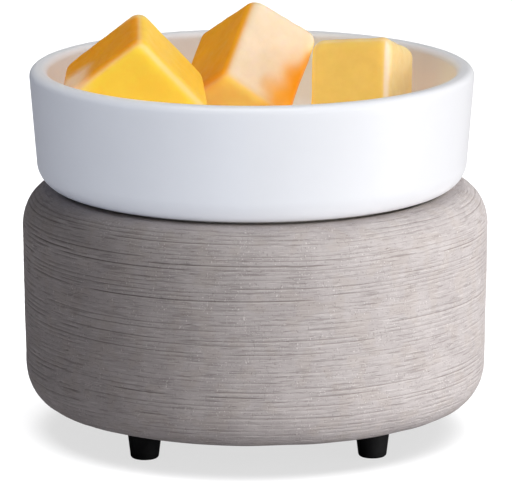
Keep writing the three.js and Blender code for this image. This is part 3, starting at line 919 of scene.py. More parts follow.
@dataclass
class CombedSkin:
    """Rows of the body's outer skin: grooves drawn by a comb that skips, wanders and lifts small burrs."""

    length: float
    start: float
    end: float
    round_length: float
    segments: int
    seed: int = 29
    pitch_low: float = 0.00100
    pitch_high: float = 0.00150
    half_width: float = 0.00021
    deepest: float = 0.00036
    burr: float = 0.00006
    wander: float = 0.00034
    swell: float = 0.00006
    plucked: float = 0.10
    usual_stroke: float = 0.026
    stroke_spread: float = 0.70
    shortest_stroke: float = 0.004
    longest_stroke: float = 0.11
    longest_taper: float = 0.0045
    least_gap: float = 0.0012
    usual_gap: float = 0.006
    fade_length: float = 0.004
    wave_count: int = 9

    def strokes(self, rng: np.random.Generator) -> np.ndarray:
        """How deep one line is round the body.

        Args:
            rng: the source of chance.

        Returns:
            One depth per segment.
        """
        place = np.arange(self.segments) * self.round_length / self.segments
        depth = np.zeros(self.segments)
        force = rng.choice([0.30, 0.55, 1.0], p=[0.36, 0.34, 0.30])
        at = rng.uniform(-0.02, 0.0)
        while at < self.round_length:
            length = rng.lognormal(math.log(self.usual_stroke), self.stroke_spread)
            length = float(np.clip(length, self.shortest_stroke, self.longest_stroke))
            deep = self.deepest * force * rng.uniform(0.35, 1.0)
            taper = min(0.4 * length, self.longest_taper)
            inside = np.minimum(place - at, at + length - place) / taper
            depth = np.maximum(depth, deep * np.clip(inside, 0, 1))
            if rng.uniform() < self.plucked:
                grain = int(np.argmin(np.abs(place - at - length)))
                depth[grain] = max(depth[grain], self.deepest * rng.uniform(0.7, 1.1))
            at += length + rng.exponential(self.usual_gap) + self.least_gap
        return depth

    def drift(self, level: float, waves: np.ndarray) -> np.ndarray:
        """How far the comb has wandered from its level.

        Args:
            level: how far up the skin the line lies.
            waves: amplitude, phase and twist of each wave, counted once, twice and so on round the body.

        Returns:
            One shift per segment.
        """
        angle = turns(self.segments)
        total = np.zeros(self.segments)
        for count, (size, phase, twist) in enumerate(waves, start=1):
            total += size * np.cos(count * angle + phase + twist * level / self.length)
        return total

    def rows(self) -> tuple[np.ndarray, np.ndarray, np.ndarray, np.ndarray]:
        """Every row of the combed stretch.

        Returns:
            Place along the outline, shift outwards, groove share and burr share, each rows by segments.
        """
        rng = np.random.default_rng(self.seed)
        count = self.wave_count
        sizes = self.wander * rng.uniform(0.2, 1.0, count) / np.sqrt(np.arange(1, count + 1))
        waves = np.stack([sizes, rng.uniform(0, 6.28, count), rng.uniform(-9, 9, count)], axis=1)
        levels = [self.start]
        while levels[-1] < self.end:
            levels.append(levels[-1] + rng.uniform(self.pitch_low, self.pitch_high))
        place, shift, groove_shade_and_pigment, lifted = [], [], [], []
        for index, level in enumerate(levels):
            edge = min(level - self.start, self.end - level) / self.fade_length
            fade = float(np.clip(edge, 0.15, 1.0))
            depth = self.strokes(rng) * fade
            jitter = waves * np.array([0.25, 1.0, 1.0])
            jitter[:, 1] += rng.uniform(0, 6.28, count)
            middle = level + self.drift(level, waves) + self.drift(level, jitter)
            share = depth / self.deepest
            lift = self.burr * share * rng.uniform(0.2, 1.0, self.segments)
            for side in (-1, 0, 1):
                place.append(middle + side * self.half_width)
                shift.append(-depth if side == 0 else lift * (0.4 if side < 0 else 1.0))
                groove_shade_and_pigment.append(share if side == 0 else np.zeros(self.segments))
                lifted.append(np.zeros(self.segments) if side == 0 else lift / self.burr)
            gap = (levels[index + 1] - level) / 2 if index + 1 < len(levels) else self.pitch_low / 2
            ridge = rng.normal(0, 0.3, self.segments) * self.burr
            place.append(middle + gap)
            shift.append(ridge)
            groove_shade_and_pigment.append(np.zeros(self.segments))
            lifted.append(np.clip(ridge / self.burr, 0, 1) * 0.5)
        return np.array(place), np.array(shift), np.array(groove_shade_and_pigment), np.array(lifted)


@dataclass
class StonewareBody:
    """The ceramic shell that holds the heater and carries the dish."""

    node: str = "ceramic_body"
    shoulder: Point = (0.0074, 0.0105)
    heel: Point = (0.0083, 0.0115)
    taper: float = 0.0006
    wall: float = 0.0055
    edge: float = 0.0004
    opening_radius: float = 0.0505
    recess_radius: float = 0.0504
    ledge_radius: float = 0.0444
    ledge_top: float = 0.0636
    ledge_bottom: float = 0.0605
    roof_fillet: float = 0.006
    inner_ledge_radius: float = 0.0475
    base_top: float = 0.012
    inner_ledge_height: float = 0.003
    inner_slope: float = 0.005
    inlet_level: float = 0.028
    inlet_radius: float = 0.006
    sink_radius: float = 0.0085
    sink_depth: float = 0.0017
    segments: int = 360
    comb_start: float = 0.0052
    comb_end: float = 0.0046
    plain_heel: tuple[float, ...] = (0, 0.0003, 0.0006, 0.0014, 0.0028)
    plain_top: tuple[float, ...] = (0.0028, 0.0016, 0.0006, 0.0003, 0)
    plain_share: float = 0.25
    swell_wavelength: float = 0.011
    proudest_swell: float = 0.00004
    inner_row: float = 0.004
    finish: Stoneware = field(default_factory=Stoneware)

    def sizes(self) -> tuple[float, float, float]:
        """The radius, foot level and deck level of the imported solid."""
        low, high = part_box(self.node)
        return high.x, low.z, high.z

    def outer_outline(self) -> Outline:
        """The outer skin from the opening's edge over heel, wall and shoulder to the recess's edge.

        Returns:
            Its points.
        """
        radius, foot, deck = self.sizes()
        heel_radius = radius - self.taper
        low = arc((self.opening_radius + self.edge, foot + self.edge), (self.edge, self.edge), 180, 270, 4)
        heel = arc((heel_radius - self.heel[0], foot + self.heel[1]), self.heel, -90, 0, 40)
        top = arc((radius - self.shoulder[0], deck - self.shoulder[1]), self.shoulder, 0, 90, 40)
        high = arc((self.recess_radius + self.edge, deck - self.edge), (self.edge, self.edge), 90, 180, 4)
        return low + heel + run(heel[-1], top[0], 60)[:-1] + top + high

    def inner_outline(self) -> Outline:
        """The recess, the ledge, the cavity and the seat of the base plate.

        Returns:
            Its points, in the order that follows the outer skin.
        """
        radius, _foot, deck = self.sizes()
        roof_edge = radius - self.wall - self.roof_fillet
        inner_foot = radius - self.taper - self.wall
        ledge_roof = self.base_top + self.inner_ledge_height
        points = run((self.recess_radius, deck - self.edge), (self.recess_radius, self.ledge_top), 2)
        points += [(self.ledge_radius, self.ledge_top), (self.ledge_radius, self.ledge_bottom)]
        reach = (self.roof_fillet, self.roof_fillet)
        points += arc((roof_edge, self.ledge_bottom - self.roof_fillet), reach, 90, 0, 8)
        points += run(points[-1], (inner_foot, ledge_roof + self.inner_slope), 6)
        points += [(self.inner_ledge_radius, ledge_roof), (self.inner_ledge_radius, self.base_top)]
        points += [(self.opening_radius, self.base_top)]
        return points

    def outer_grid(self) -> tuple[np.ndarray, ...]:
        """Vertices of the outer skin with its combed relief.

        Returns:
            Vertices as rows by segments by 3, place along the skin, groove share, burr share and skin share.
        """
        radius, _foot, _deck = self.sizes()
        path = np.array(self.outer_outline())
        steps = np.linalg.norm(np.diff(path, axis=0), axis=1)
        travel = np.concatenate([[0], np.cumsum(steps)])
        whole = travel[-1]
        tangent = np.gradient(path, travel, axis=0)
        normal = np.stack([tangent[:, 1], -tangent[:, 0]], axis=1)
        normal /= np.linalg.norm(normal, axis=1)[:, None]
        skin = CombedSkin(
            whole, self.comb_start, whole - self.comb_end, 2 * math.pi * radius, self.segments
        )
        place, shift, groove_shade_and_pigment, lifted = skin.rows()
        level = np.zeros(self.segments)
        before = np.array(self.plain_heel)[:, None] + level
        after = whole - np.array(self.plain_top)[:, None] + level
        blank = np.zeros_like(before)
        share = np.vstack([blank + self.plain_share, np.ones_like(place), blank + self.plain_share])
        place = np.vstack([before, place, after])
        shift, groove_shade_and_pigment, lifted = (np.vstack([blank, rows, blank]) for rows in (shift, groove_shade_and_pigment, lifted))
        spot_r = np.interp(place, travel, path[:, 0])
        spot_z = np.interp(place, travel, path[:, 1])
        angle = turns(self.segments, math.pi / 2)
        flat = np.stack([np.cos(angle) * spot_r, np.sin(angle) * spot_r, spot_z], axis=2)
        swell = ripple(flat.reshape(-1, 3), self.swell_wavelength, 5).reshape(place.shape) * skin.swell
        shift = shift + np.minimum(swell, self.proudest_swell) * np.clip(share * 2 - 0.5, 0, 1)
        r = spot_r + np.interp(place, travel, normal[:, 0]) * shift
        z = spot_z + np.interp(place, travel, normal[:, 1]) * shift
        grid = np.stack([np.cos(angle) * r, np.sin(angle) * r, z], axis=2)
        return grid, place, groove_shade_and_pigment, lifted, share

    def cutter(self, name: str, radius: float, start: float, end: float) -> bpy.types.Object:
        """A round bar along Y at the cord inlet.

        Args:
            name: the object's name.
            radius: the bar's radius.
            start: y of its front end.
            end: y of its back end.

        Returns:
            The bar.
        """
        bar = turned(name, [(0, start), (radius, start), (radius, end), (0, end)], 96)
        lay_back(bar, self.inlet_level)
        return bar

    def build(self) -> bpy.types.Object:
        """Makes, cuts and dresses the body.

        Returns:
            The new piece.
        """
        radius, _foot, _deck = self.sizes()
        grid, place, groove_shade_and_pigment, lifted, share = self.outer_grid()
        inner = np.array(self.inner_outline())
        angle = turns(self.segments, math.pi / 2)
        level = np.zeros(self.segments)
        spot = inner[:, :1]
        inside = np.stack([spot * np.cos(angle), spot * np.sin(angle), inner[:, 1:] + level], axis=2)
        inside_place = place[-1, 0] + np.cumsum(np.full(len(inner), self.inner_row))[:, None] + level
        whole = np.concatenate([grid, inside])
        faces = ring_faces(len(whole), self.segments, True)
        body = mesh_object("stoneware_shell", whole.reshape(-1, 3), faces)
        self.crisp_inside(body, len(grid))
        blank = np.zeros_like(inside_place)
        travel = np.vstack([place, inside_place])
        flat = np.zeros_like(travel)
        comb = np.stack([radius * np.cos(angle) + flat, radius * np.sin(angle) + flat, travel], axis=2)
        write_vector(body, "comb", comb.reshape(-1, 3))
        # The share of each comb line's depth, which the material turns into painted shade with some pigment.
        write_value(body, "groove_shade_and_pigment", np.vstack([groove_shade_and_pigment, blank]))
        write_value(body, "burr", np.vstack([lifted, blank]))
        write_value(body, "skin", np.vstack([share, blank]))
        sink_face = radius - self.taper - self.sink_depth
        hole = self.cutter("inlet_hole", self.inlet_radius, radius / 2, radius * 1.1)
        sink = self.cutter("inlet_sink", self.sink_radius, sink_face, radius * 1.1)
        carved(body, [hole, sink])
        self.crisp_inlet(body)
        body.data.materials.clear()
        body.data.materials.append(self.finish.material())
        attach(body, "warmer_base")
        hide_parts(self.node)
        return body

    def crisp_inside(self, body: bpy.types.Object, outer_rings: int) -> None:
        """Keeps the corners of the inner rings crisp.

        Args:
            body: the shell.
            outer_rings: how many rings the smooth outer skin has.
        """

        def is_inner(edge: bmesh.types.BMEdge) -> bool:
            """Whether the edge lies past the outer skin."""
            return min(vertex.index // self.segments for vertex in edge.verts) >= outer_rings

        crease(body, 35, is_inner)

    def crisp_inlet(self, body: bpy.types.Object) -> None:
        """Keeps the cut corners of the cord inlet crisp.

        Args:
            body: the shell after the cut.
        """

        def is_cut(edge: bmesh.types.BMEdge) -> bool:
            """Whether the edge lies at the inlet."""
            middle = (edge.verts[0].co + edge.verts[1].co) / 2
            off = math.hypot(middle.x, middle.z - self.inlet_level)
            return middle.y > 0 and off < self.sink_radius * 1.02

        crease(body, 50, is_cut)


# ---------------------------------------------------------------- dish


@dataclass
class LiftOutDish:
    """The glazed dish, a little off the body's axis in its play."""

    node: str = "dish"
    taper: float = 0.0018
    wall: float = 0.0049
    gap: float = 0.0006
    floor: float = 0.0059
    heel: float = 0.0069
    lip: float = 0.0021
    fillet: float = 0.009
    inner_rim: float = 0.0546
    boss_radius: float = 0.0491
    deck: float = 0.0675
    segments: int = 256
    unevenness: float = 0.00007
    foot_edge: float = 0.0007
    finish: SatinGlaze = field(default_factory=SatinGlaze)

    def outline(self) -> Outline:
        """The dish's outline.

        Returns:
            Points from the middle of its underside round the rim to the middle of its floor.
        """
        low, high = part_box(self.node)
        rim = (high.x - low.x) / 2
        underside = self.deck + self.gap
        foot = rim - self.taper
        floor_level = underside + self.floor
        lip = (self.lip, self.lip)
        soft = self.foot_edge
        points = [(0.0, low.z), (0.02, low.z), (0.044, low.z)]
        points += arc((self.boss_radius - soft, low.z + soft), (soft, soft), -90, 0, 4)
        points += [(self.boss_radius, underside)]
        points += arc((foot - self.heel, underside + self.heel), (self.heel, self.heel), -90, 0, 16)
        outer_lip = arc((rim - self.lip, high.z - self.lip), lip, 0, 90, 10)
        inner_lip = arc((self.inner_rim + self.lip, high.z - self.lip), lip, 90, 180, 10)
        points += run(points[-1], outer_lip[0], 14)[:-1]
        points += outer_lip
        points += inner_lip
        reach = (self.fillet, self.fillet)
        bowl = arc((foot - self.wall - self.fillet, floor_level + self.fillet), reach, 0, -90, 18)
        points += run(points[-1], bowl[0], 10)[:-1]
        points += bowl
        points += run(points[-1], (0.004, floor_level), 8)
        points += [(0.0, floor_level)]
        return points

    def build(self) -> bpy.types.Object:
        """Makes and dresses the dish.

        Returns:
            The new piece.
        """
        axis = middle_of(self.node)
        dish = turned("glazed_dish", self.outline(), self.segments, axis, sharp_degrees=60.0)
        points = coordinates(dish)
        away = points - np.array([axis[0], axis[1], 0])
        radius = np.hypot(away[:, 0], away[:, 1])
        share = np.clip((points[:, 2] - self.deck - 0.004) / 0.01, 0, 1) * np.clip(radius / 0.04 - 0.5, 0, 1)
        bend = np.minimum(ripple(points, 0.055, 3), 0.4) * self.unevenness * share
        outward = away / np.maximum(radius, 1e-6)[:, None] * np.array([1, 1, 0])
        place_vertices(dish, points + outward * bend[:, None])
        dish.data.materials.append(self.finish.material())
        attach(dish, "dish_body")
        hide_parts(self.node)
        return dish


# ---------------------------------------------------------------- wax


class WaxTone(Enum):
    """Named tones of the wax's faces; two of them are brightened as painted light for faces the lamps don't
    reach.
    """

    CREAM = (0.800, 0.650, 0.490)
    BEIGE = (0.790, 0.570, 0.250)
    # Painted light: brightened for the middle block's downward back face, which the lamps don't reach, in
    # place of light that crosses the wax.
    BUTTER_WITH_PAINTED_LIGHT = (0.980, 0.680, 0.160)
    PALE = (0.840, 0.530, 0.060)
    SAND = (0.790, 0.530, 0.120)
    # Partly painted light: a real honey tone, brightened for the left block's downward lower face, which the
    # lamps don't reach.
    HONEY_WITH_PAINTED_LIGHT = (0.980, 0.665, 0.070)
    AMBER = (0.720, 0.290, 0.003)
    RUST = (0.770, 0.340, 0.008)


class Face(Enum):
    """Faces of a block by its own axes; the small end is the upper one."""

    RIGHT = (1.0, 0.0, 0.0)
    LEFT = (-1.0, 0.0, 0.0)
    BACK = (0.0, 1.0, 0.0)
    FRONT = (0.0, -1.0, 0.0)
    UPPER = (0.0, 0.0, 1.0)
    LOWER = (0.0, 0.0, -1.0)


@dataclass(frozen=True)
class ToneSpot:
    """A soft patch of another tone on a block."""

    middle: tuple[float, float, float]
    reach: float
    tone: WaxTone
    strength: float = 1.0
    softness: float = 1.0


@dataclass
class WaxBlock:
    """One rounded, slightly tapered wax melt that leans in the dish."""

    node: str
    body: str
    tilt: tuple[float, float, float]
    tones: dict[Face, WaxTone]
    bloomed: list[Face]
    spots: list[ToneSpot]
    seed: int
    side: float = 0.030
    top_side: float = 0.028
    height: float = 0.0225
    edge: float = 0.0038
    cells: int = 40
    unevenness: float = 0.00022
    deepest_sag: float = 0.0003
    face_sharpness: int = 6
    spot_wander: float = 0.0012
    worn_edges: float = 0.25
    # Painted highlight: pale cream lines along the edges between these faces, by strength.
    painted_highlight_edges: tuple[tuple[Face, Face, float], ...] = ()

    def rounded_block(self) -> tuple[np.ndarray, np.ndarray, list]:
        """The block before it is tilted.

        Returns:
            Its vertices, their normals and its faces.
        """
        shape = bmesh.new()
        bmesh.ops.create_cube(shape, size=2.0)
        bmesh.ops.subdivide_edges(shape, edges=shape.edges[:], cuts=self.cells - 1, use_grid_fill=True)
        shape.verts.ensure_lookup_table()
        cube = np.array([v.co for v in shape.verts])
        faces = [tuple(v.index for v in f.verts) for f in shape.faces]
        shape.free()
        half = np.array([self.side / 2, self.side / 2, self.height / 2])
        points = cube * half
        core = np.clip(points, -(half - self.edge), half - self.edge)
        away = points - core
        normals = away / np.maximum(np.linalg.norm(away, axis=1), 1e-9)[:, None]
        points = core + normals * self.edge
        rise = (points[:, 2] + half[2]) / self.height
        narrowing = 1 - (1 - self.top_side / self.side) * rise
        points[:, :2] *= narrowing[:, None]
        return points, normals, faces

    def soften(self, points: np.ndarray, normals: np.ndarray) -> np.ndarray:
        """Lets the faces sag and the edges melt a little.

        Args:
            points: the block's vertices.
            normals: their normals.

        Returns:
            The moved vertices, nowhere prouder than before.
        """
        flatness = np.abs(normals).max(axis=1)
        sag = np.clip(flatness - 0.9, 0, 0.1) * 10
        reach = np.abs(points) / np.array([self.side / 2, self.side / 2, self.height / 2])
        middle = np.clip(1 - np.sort(reach, axis=1)[:, 1], 0, 1)
        sink = self.deepest_sag * sag * middle
        slow = ripple(points, 0.012, self.seed) * 0.5 + 0.5
        quick = ripple(points, 0.0045, self.seed + 1) * 0.5 + 0.5
        melt = self.unevenness * (0.8 * np.clip(slow, 0, 1.2) + 0.35 * np.clip(quick, 0, 1.2))
        return points - normals * (sink + melt)[:, None]

    def face_tones(self, points: np.ndarray, normals: np.ndarray) -> tuple[np.ndarray, np.ndarray]:
        """The tone and bloom of each vertex.

        Args:
            points: the block's vertices before it is tilted.
            normals: their normals.

        Returns:
            Four colour numbers and one bloom value for each vertex.
        """
        total = np.zeros((len(points), 3))
        weight = np.zeros(len(points))
        bloom = np.zeros(len(points))
        cloud = ripple(points, 0.010, self.seed + 2)
        for face, tone in self.tones.items():
            facing = np.clip(normals @ np.array(face.value), 0, 1) ** self.face_sharpness
            total += facing[:, None] * np.array(tone.value)
            weight += facing
            if face in self.bloomed:
                bloom += facing
        colour = total / weight[:, None]
        for spot in self.spots:
            gap = np.linalg.norm(points - np.array(spot.middle), axis=1) + cloud * self.spot_wander
            share = np.clip(0.5 + (1 - gap / spot.reach) / spot.softness, 0, 1)
            share = share * share * (3 - 2 * share) * spot.strength
            colour = colour * (1 - share[:, None]) + np.array(spot.tone.value) * share[:, None]
            if spot.tone is not WaxTone.CREAM:
                bloom = bloom * (1 - share)
        flatness = np.abs(normals).max(axis=1)
        wear_and_highlight = np.clip((0.86 - flatness) / 0.16, 0, 1) * self.worn_edges
        # Painted highlight: the edge between two named faces turns cream where a glint shows along it.
        for first, second, strength in self.painted_highlight_edges:
            both = np.minimum(normals @ np.array(first.value), normals @ np.array(second.value))
            wear_and_highlight = np.maximum(wear_and_highlight, np.clip((both - 0.46) / 0.15, 0, 1) * strength)
        # Cream on every edge for wear, and along the named edges as a painted highlight.
        colour = colour * (1 - wear_and_highlight[:, None]) + np.array(WaxTone.CREAM.value) * wear_and_highlight[:, None]
        alpha = np.ones((len(points), 1))
        return np.hstack([colour, alpha]), np.clip(bloom, 0, 1)

    def build(self, material: bpy.types.Material) -> bpy.types.Object:
        """Makes, tilts and dresses the block.

        Args:
            material: the wax.

        Returns:
            The new piece.
        """
        points, normals, faces = self.rounded_block()
        tones, bloom = self.face_tones(points, normals)
        soft = self.soften(points, normals)
        a, b, c = (math.radians(t) for t in self.tilt)
        turn = np.array(Matrix.Rotation(a, 3, "X") @ Matrix.Rotation(b, 3, "Y") @ Matrix.Rotation(c, 3, "Z"))
        sharp = points @ turn.T
        low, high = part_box(self.node)
        middle = (np.array(low) + np.array(high)) / 2
        shift = middle - (sharp.min(axis=0) + sharp.max(axis=0)) / 2
        block = mesh_object(self.node.replace("block", "melt"), soft @ turn.T + shift, faces)
        write_colour(block, "tone", tones)
        write_value(block, "bloom", bloom)
        write_vector(block, "grain_place", points + self.seed * 0.1)
        block.data.materials.append(material)
        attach(block, self.body)
        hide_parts(self.node)
        return block


@dataclass
class WaxLoad:
    """The three blocks in the dish."""

    finish: WaxMelt = field(default_factory=WaxMelt)

    def blocks(self) -> list[WaxBlock]:
        """The blocks from left to right.

        Returns:
            Their sizes, tilts and tones.
        """
        left = WaxBlock(
            node="wax_block_left",
            body="wax_left",
            tilt=(-73.0, 0.5, 49.1),
            tones={
                # This downward face's tone is brightened as painted light.
                Face.LOWER: WaxTone.HONEY_WITH_PAINTED_LIGHT,
                Face.LEFT: WaxTone.AMBER,
                Face.FRONT: WaxTone.PALE,
                Face.UPPER: WaxTone.AMBER,
                Face.RIGHT: WaxTone.AMBER,
                Face.BACK: WaxTone.AMBER,
            },
            bloomed=[],
            spots=[
                ToneSpot((-0.015, 0.011, -0.006), 0.0065, WaxTone.CREAM, 0.7, 1.2),
                ToneSpot((-0.014, -0.014, 0.012), 0.0055, WaxTone.BEIGE, 0.7, 1.0),
            ],
            seed=101,
            # Painted highlight: a faint cream line along the edge between the lower and front faces.
            painted_highlight_edges=((Face.LOWER, Face.FRONT, 0.35),),
        )
        middle = WaxBlock(
            node="wax_block_middle",
            body="wax_middle",
            tilt=(18.5, -52.6, 149.4),
            tones={
                Face.LEFT: WaxTone.CREAM,
                Face.UPPER: WaxTone.RUST,
                # This downward face's tone is brightened as painted light.
                Face.BACK: WaxTone.BUTTER_WITH_PAINTED_LIGHT,
                Face.LOWER: WaxTone.HONEY_WITH_PAINTED_LIGHT,
                Face.RIGHT: WaxTone.AMBER,
                Face.FRONT: WaxTone.PALE,
            },
            bloomed=[Face.LEFT],
            spots=[
                ToneSpot((-0.015, -0.003, -0.0135), 0.0055, WaxTone.RUST, 0.9, 0.9),
                ToneSpot((-0.015, 0.004, -0.0130), 0.0075, WaxTone.RUST, 0.9, 0.8),
                ToneSpot((-0.015, 0.012, -0.0125), 0.0100, WaxTone.RUST, 0.9, 0.7),
            ],
            seed=202,
        )
        right = WaxBlock(
            node="wax_block_right",
            body="wax_right",
            tilt=(-99.0, -73.8, 7.4),
            tones={
                Face.LEFT: WaxTone.SAND,
                Face.LOWER: WaxTone.BEIGE,
                Face.FRONT: WaxTone.BEIGE,
                Face.UPPER: WaxTone.HONEY_WITH_PAINTED_LIGHT,
                Face.RIGHT: WaxTone.AMBER,
                Face.BACK: WaxTone.HONEY_WITH_PAINTED_LIGHT,
            },
            bloomed=[Face.LEFT],
            spots=[],
            seed=303,
            # Painted highlight: a strong cream line down the edge between the left and lower faces.
            painted_highlight_edges=((Face.LEFT, Face.LOWER, 1.0),),
        )
        return [left, middle, right]

    def build(self) -> list[bpy.types.Object]:
        """Makes every block with one wax."""
        material = self.finish.material()
        return [block.build(material) for block in self.blocks()]


# ---------------------------------------------------------------- feet, base and inlet


@dataclass
class RubberFeet:
    """Four tapered rubber feet with barbed stems through the base plate."""

    top_radius: float = 0.0049
    bottom_radius: float = 0.0038
    edge: float = 0.0009
    stem_radius: float = 0.0018
    barb_radius: float = 0.0026
    barb_height: float = 0.0018
    base_bottom: float = 0.010
    base_top: float = 0.012
    dimple_radius: float = 0.0018
    dimple_depth: float = 0.0004
    seam: float = 0.0010
    seam_step: float = 0.0001
    shoulder: float = 0.0004
    segments: int = 64

    def outline(self) -> Outline:
        """One foot's outline.

        Returns:
            Points from the tread's dimple over flank, flange and stem to the barb's tip.
        """
        points = [(0.0, self.dimple_depth), (self.dimple_radius, self.dimple_depth)]
        points += [(self.dimple_radius + self.dimple_depth, 0.0)]
        edge = (self.edge, self.edge)
        points += arc((self.bottom_radius - self.edge, self.edge), edge, -90, -8, 6)
        seam_level = self.base_bottom - self.seam
        points += run(points[-1], (self.top_radius - self.seam_step, seam_level), 5)
        soft = (self.shoulder, self.shoulder)
        points += arc((self.top_radius - self.shoulder, self.base_bottom - self.shoulder), soft, 0, 90, 4)
        points += [(self.stem_radius, self.base_bottom), (self.stem_radius, self.base_top)]
        points += [(self.barb_radius, self.base_top)]
        points += [(self.barb_radius * 0.98, self.base_top + 0.0003)]
        points += [(self.stem_radius * 0.7, self.base_top + self.barb_height)]
        points += [(0.0, self.base_top + self.barb_height)]
        return points

    def build(self, material: bpy.types.Material) -> list[bpy.types.Object]:
        """Makes and dresses the feet.

        Args:
            material: the rubber.

        Returns:
            The new pieces.
        """
        feet = []
        for place in ("front_left", "front_right", "rear_left", "rear_right"):
            node = f"foot_{place}"
            foot = turned(f"rubber_foot_{place}", self.outline(), self.segments, middle_of(node), 40.0)
            foot.data.materials.append(material)
            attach(foot, "warmer_base")
            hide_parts(node)
            feet.append(foot)
        return feet


@dataclass
class BaseClosure:
    """The vented steel plate that closes the body from below, and its three screws."""

    radius: float = 0.0501
    edge: float = 0.0005
    bead_middle: float = 0.0330
    bead_width: float = 0.0024
    bead_depth: float = 0.0005
    rod_circle: float = 0.040
    foot_circle: float = 0.0428
    screw_hole: float = 0.00165
    foot_hole: float = 0.0020
    fixing_place: float = 0.024
    vent_circle: float = 0.022
    vent_length: float = 0.014
    vent_width: float = 0.003
    screw_head: float = 0.0029
    screw_head_height: float = 0.0018
    screw_shank: float = 0.00145
    thread_pitch: float = 0.0007
    recess_width: float = 0.0006
    recess_depth: float = 0.0009
    past: float = 0.001

    def plate(self) -> bpy.types.Object:
        """The plate with its bead, vents and holes.

        Returns:
            The plate.
        """
        low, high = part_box("base_plate")
        soft = (self.edge, self.edge)
        half = self.bead_width / 2
        outline = [(0.0, low.z), (0.006, low.z), (0.012, low.z), (self.bead_middle - half, low.z)]
        outline += [(self.bead_middle - half * 0.5, low.z + self.bead_depth)]
        outline += [(self.bead_middle + half * 0.5, low.z + self.bead_depth)]
        outline += [(self.bead_middle + half, low.z)]
        outline += arc((self.radius - self.edge, low.z + self.edge), soft, -90, 0, 4)
        outline += arc((self.radius - self.edge, high.z - self.edge), soft, 0, 90, 4)
        outline += [(0.012, high.z), (0.0, high.z)]
        plate = turned("base_plate_vented", outline, 192)
        bottom = low.z - self.past
        top = high.z + self.past
        cutters = []
        for degrees in (30, 150, 210, 270, 330):
            middle = polar(self.vent_circle, degrees)
            corners = slot_outline(middle, math.radians(degrees), self.vent_length, self.vent_width)
            cutters.append(prism("vent", corners, bottom, top))
        holes = [(polar(self.rod_circle, d), self.screw_hole) for d in (30, 150, 270)]
        holes += [(polar(self.foot_circle, d), self.foot_hole) for d in (45, 135, 225, 315)]
        holes += [((0.0, self.fixing_place), self.screw_hole)]
        for spot, size in holes:
            outline = [(0.0, bottom), (size, bottom), (size, top), (0.0, top)]
            cutters.append(turned("hole", outline, 32, spot))
        carved(plate, [joined(cutters)])
        plate.data.set_sharp_from_angle(angle=math.radians(35))
        return plate

    def screw(self, index: int) -> bpy.types.Object:
        """One pan-head screw with a cross recess.

        Args:
            index: which of the three, counted from 1.

        Returns:
            The screw.
        """
        low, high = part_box(f"base_screw_{index}")
        middle = middle_of(f"base_screw_{index}")
        seat = low.z + self.screw_head_height
        rim = seat - self.screw_head_height * 0.45
        outline = [(0.0, low.z)]
        outline += arc((self.screw_head * 0.45, rim), (self.screw_head * 0.55, rim - low.z), -90, 0, 8)
        outline += [(self.screw_head, seat), (self.screw_shank, seat)]
        pitch = self.thread_pitch
        level = seat + pitch
        while level + pitch < high.z:
            outline += [(self.screw_shank * 0.82, level), (self.screw_shank, level + pitch / 2)]
            level += pitch
        outline += [(self.screw_shank * 0.5, high.z), (0.0, high.z)]
        screw = turned(f"base_screw_cross_{index}", outline, 40, middle)
        arms = []
        for turn in (0.4, 0.4 + math.pi / 2):
            cross = slot_outline(middle, turn, 2 * self.screw_head * 0.52, self.recess_width)
            arms.append(prism("arm", cross, low.z - self.past, low.z + self.recess_depth))
        carved(screw, arms)
        screw.data.set_sharp_from_angle(angle=math.radians(35))
        return screw

    def build(self, coat: bpy.types.Material, zinc: bpy.types.Material) -> list[bpy.types.Object]:
        """Makes and dresses the plate and its screws.

        Args:
            coat: the plate's powder coat.
            zinc: the screws' plating.

        Returns:
            The new pieces.
        """
        plate = self.plate()
        plate.data.materials.append(coat)
        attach(plate, "warmer_base")
        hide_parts("base_plate")
        pieces = [plate]
        for index in (1, 2, 3):
            screw = self.screw(index)
            screw.data.materials.append(zinc)
            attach(screw, "warmer_base")
            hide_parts(f"base_screw_{index}")
            pieces.append(screw)
        return pieces


@dataclass
class CordInlet:
    """The rubber bush at the back that the cord would pass."""

    level: float = 0.028
    bore: float = 0.0033
    barrel: float = 0.0057
    flange: float = 0.0082
    seat: float = 0.0602
    lip: float = 0.0072
    lip_thickness: float = 0.0016
    edge: float = 0.0005
    bell: float = 0.0008

    def build(self, material: bpy.types.Material) -> bpy.types.Object:
        """Makes and dresses the bush.

        Args:
            material: the rubber.

        Returns:
            The new piece.
        """
        low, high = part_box("cord_grommet")
        soft = (self.edge, self.edge)
        inner = low.y
        lip_front = inner + self.lip_thickness
        outline = [(self.bore, inner)]
        outline += arc((self.lip - self.edge, inner + self.edge), soft, -90, 0, 4)
        outline += arc((self.lip - self.edge, lip_front - self.edge), soft, 0, 90, 4)
        outline += [(self.barrel, lip_front), (self.barrel, self.seat), (self.flange, self.seat)]
        outline += arc((self.flange - self.edge, high.y - self.edge), soft, 0, 90, 5)
        outline += arc((self.bore + self.bell, high.y - self.bell), (self.bell, self.bell), 90, 180, 6)
        bush = turned("inlet_bush", outline, 96, sharp_degrees=45.0)
        lay_back(bush, self.level)
        bush.data.materials.append(material)
        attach(bush, "warmer_base")
        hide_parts("cord_grommet")
        return bush


# ---------------------------------------------------------------- heater


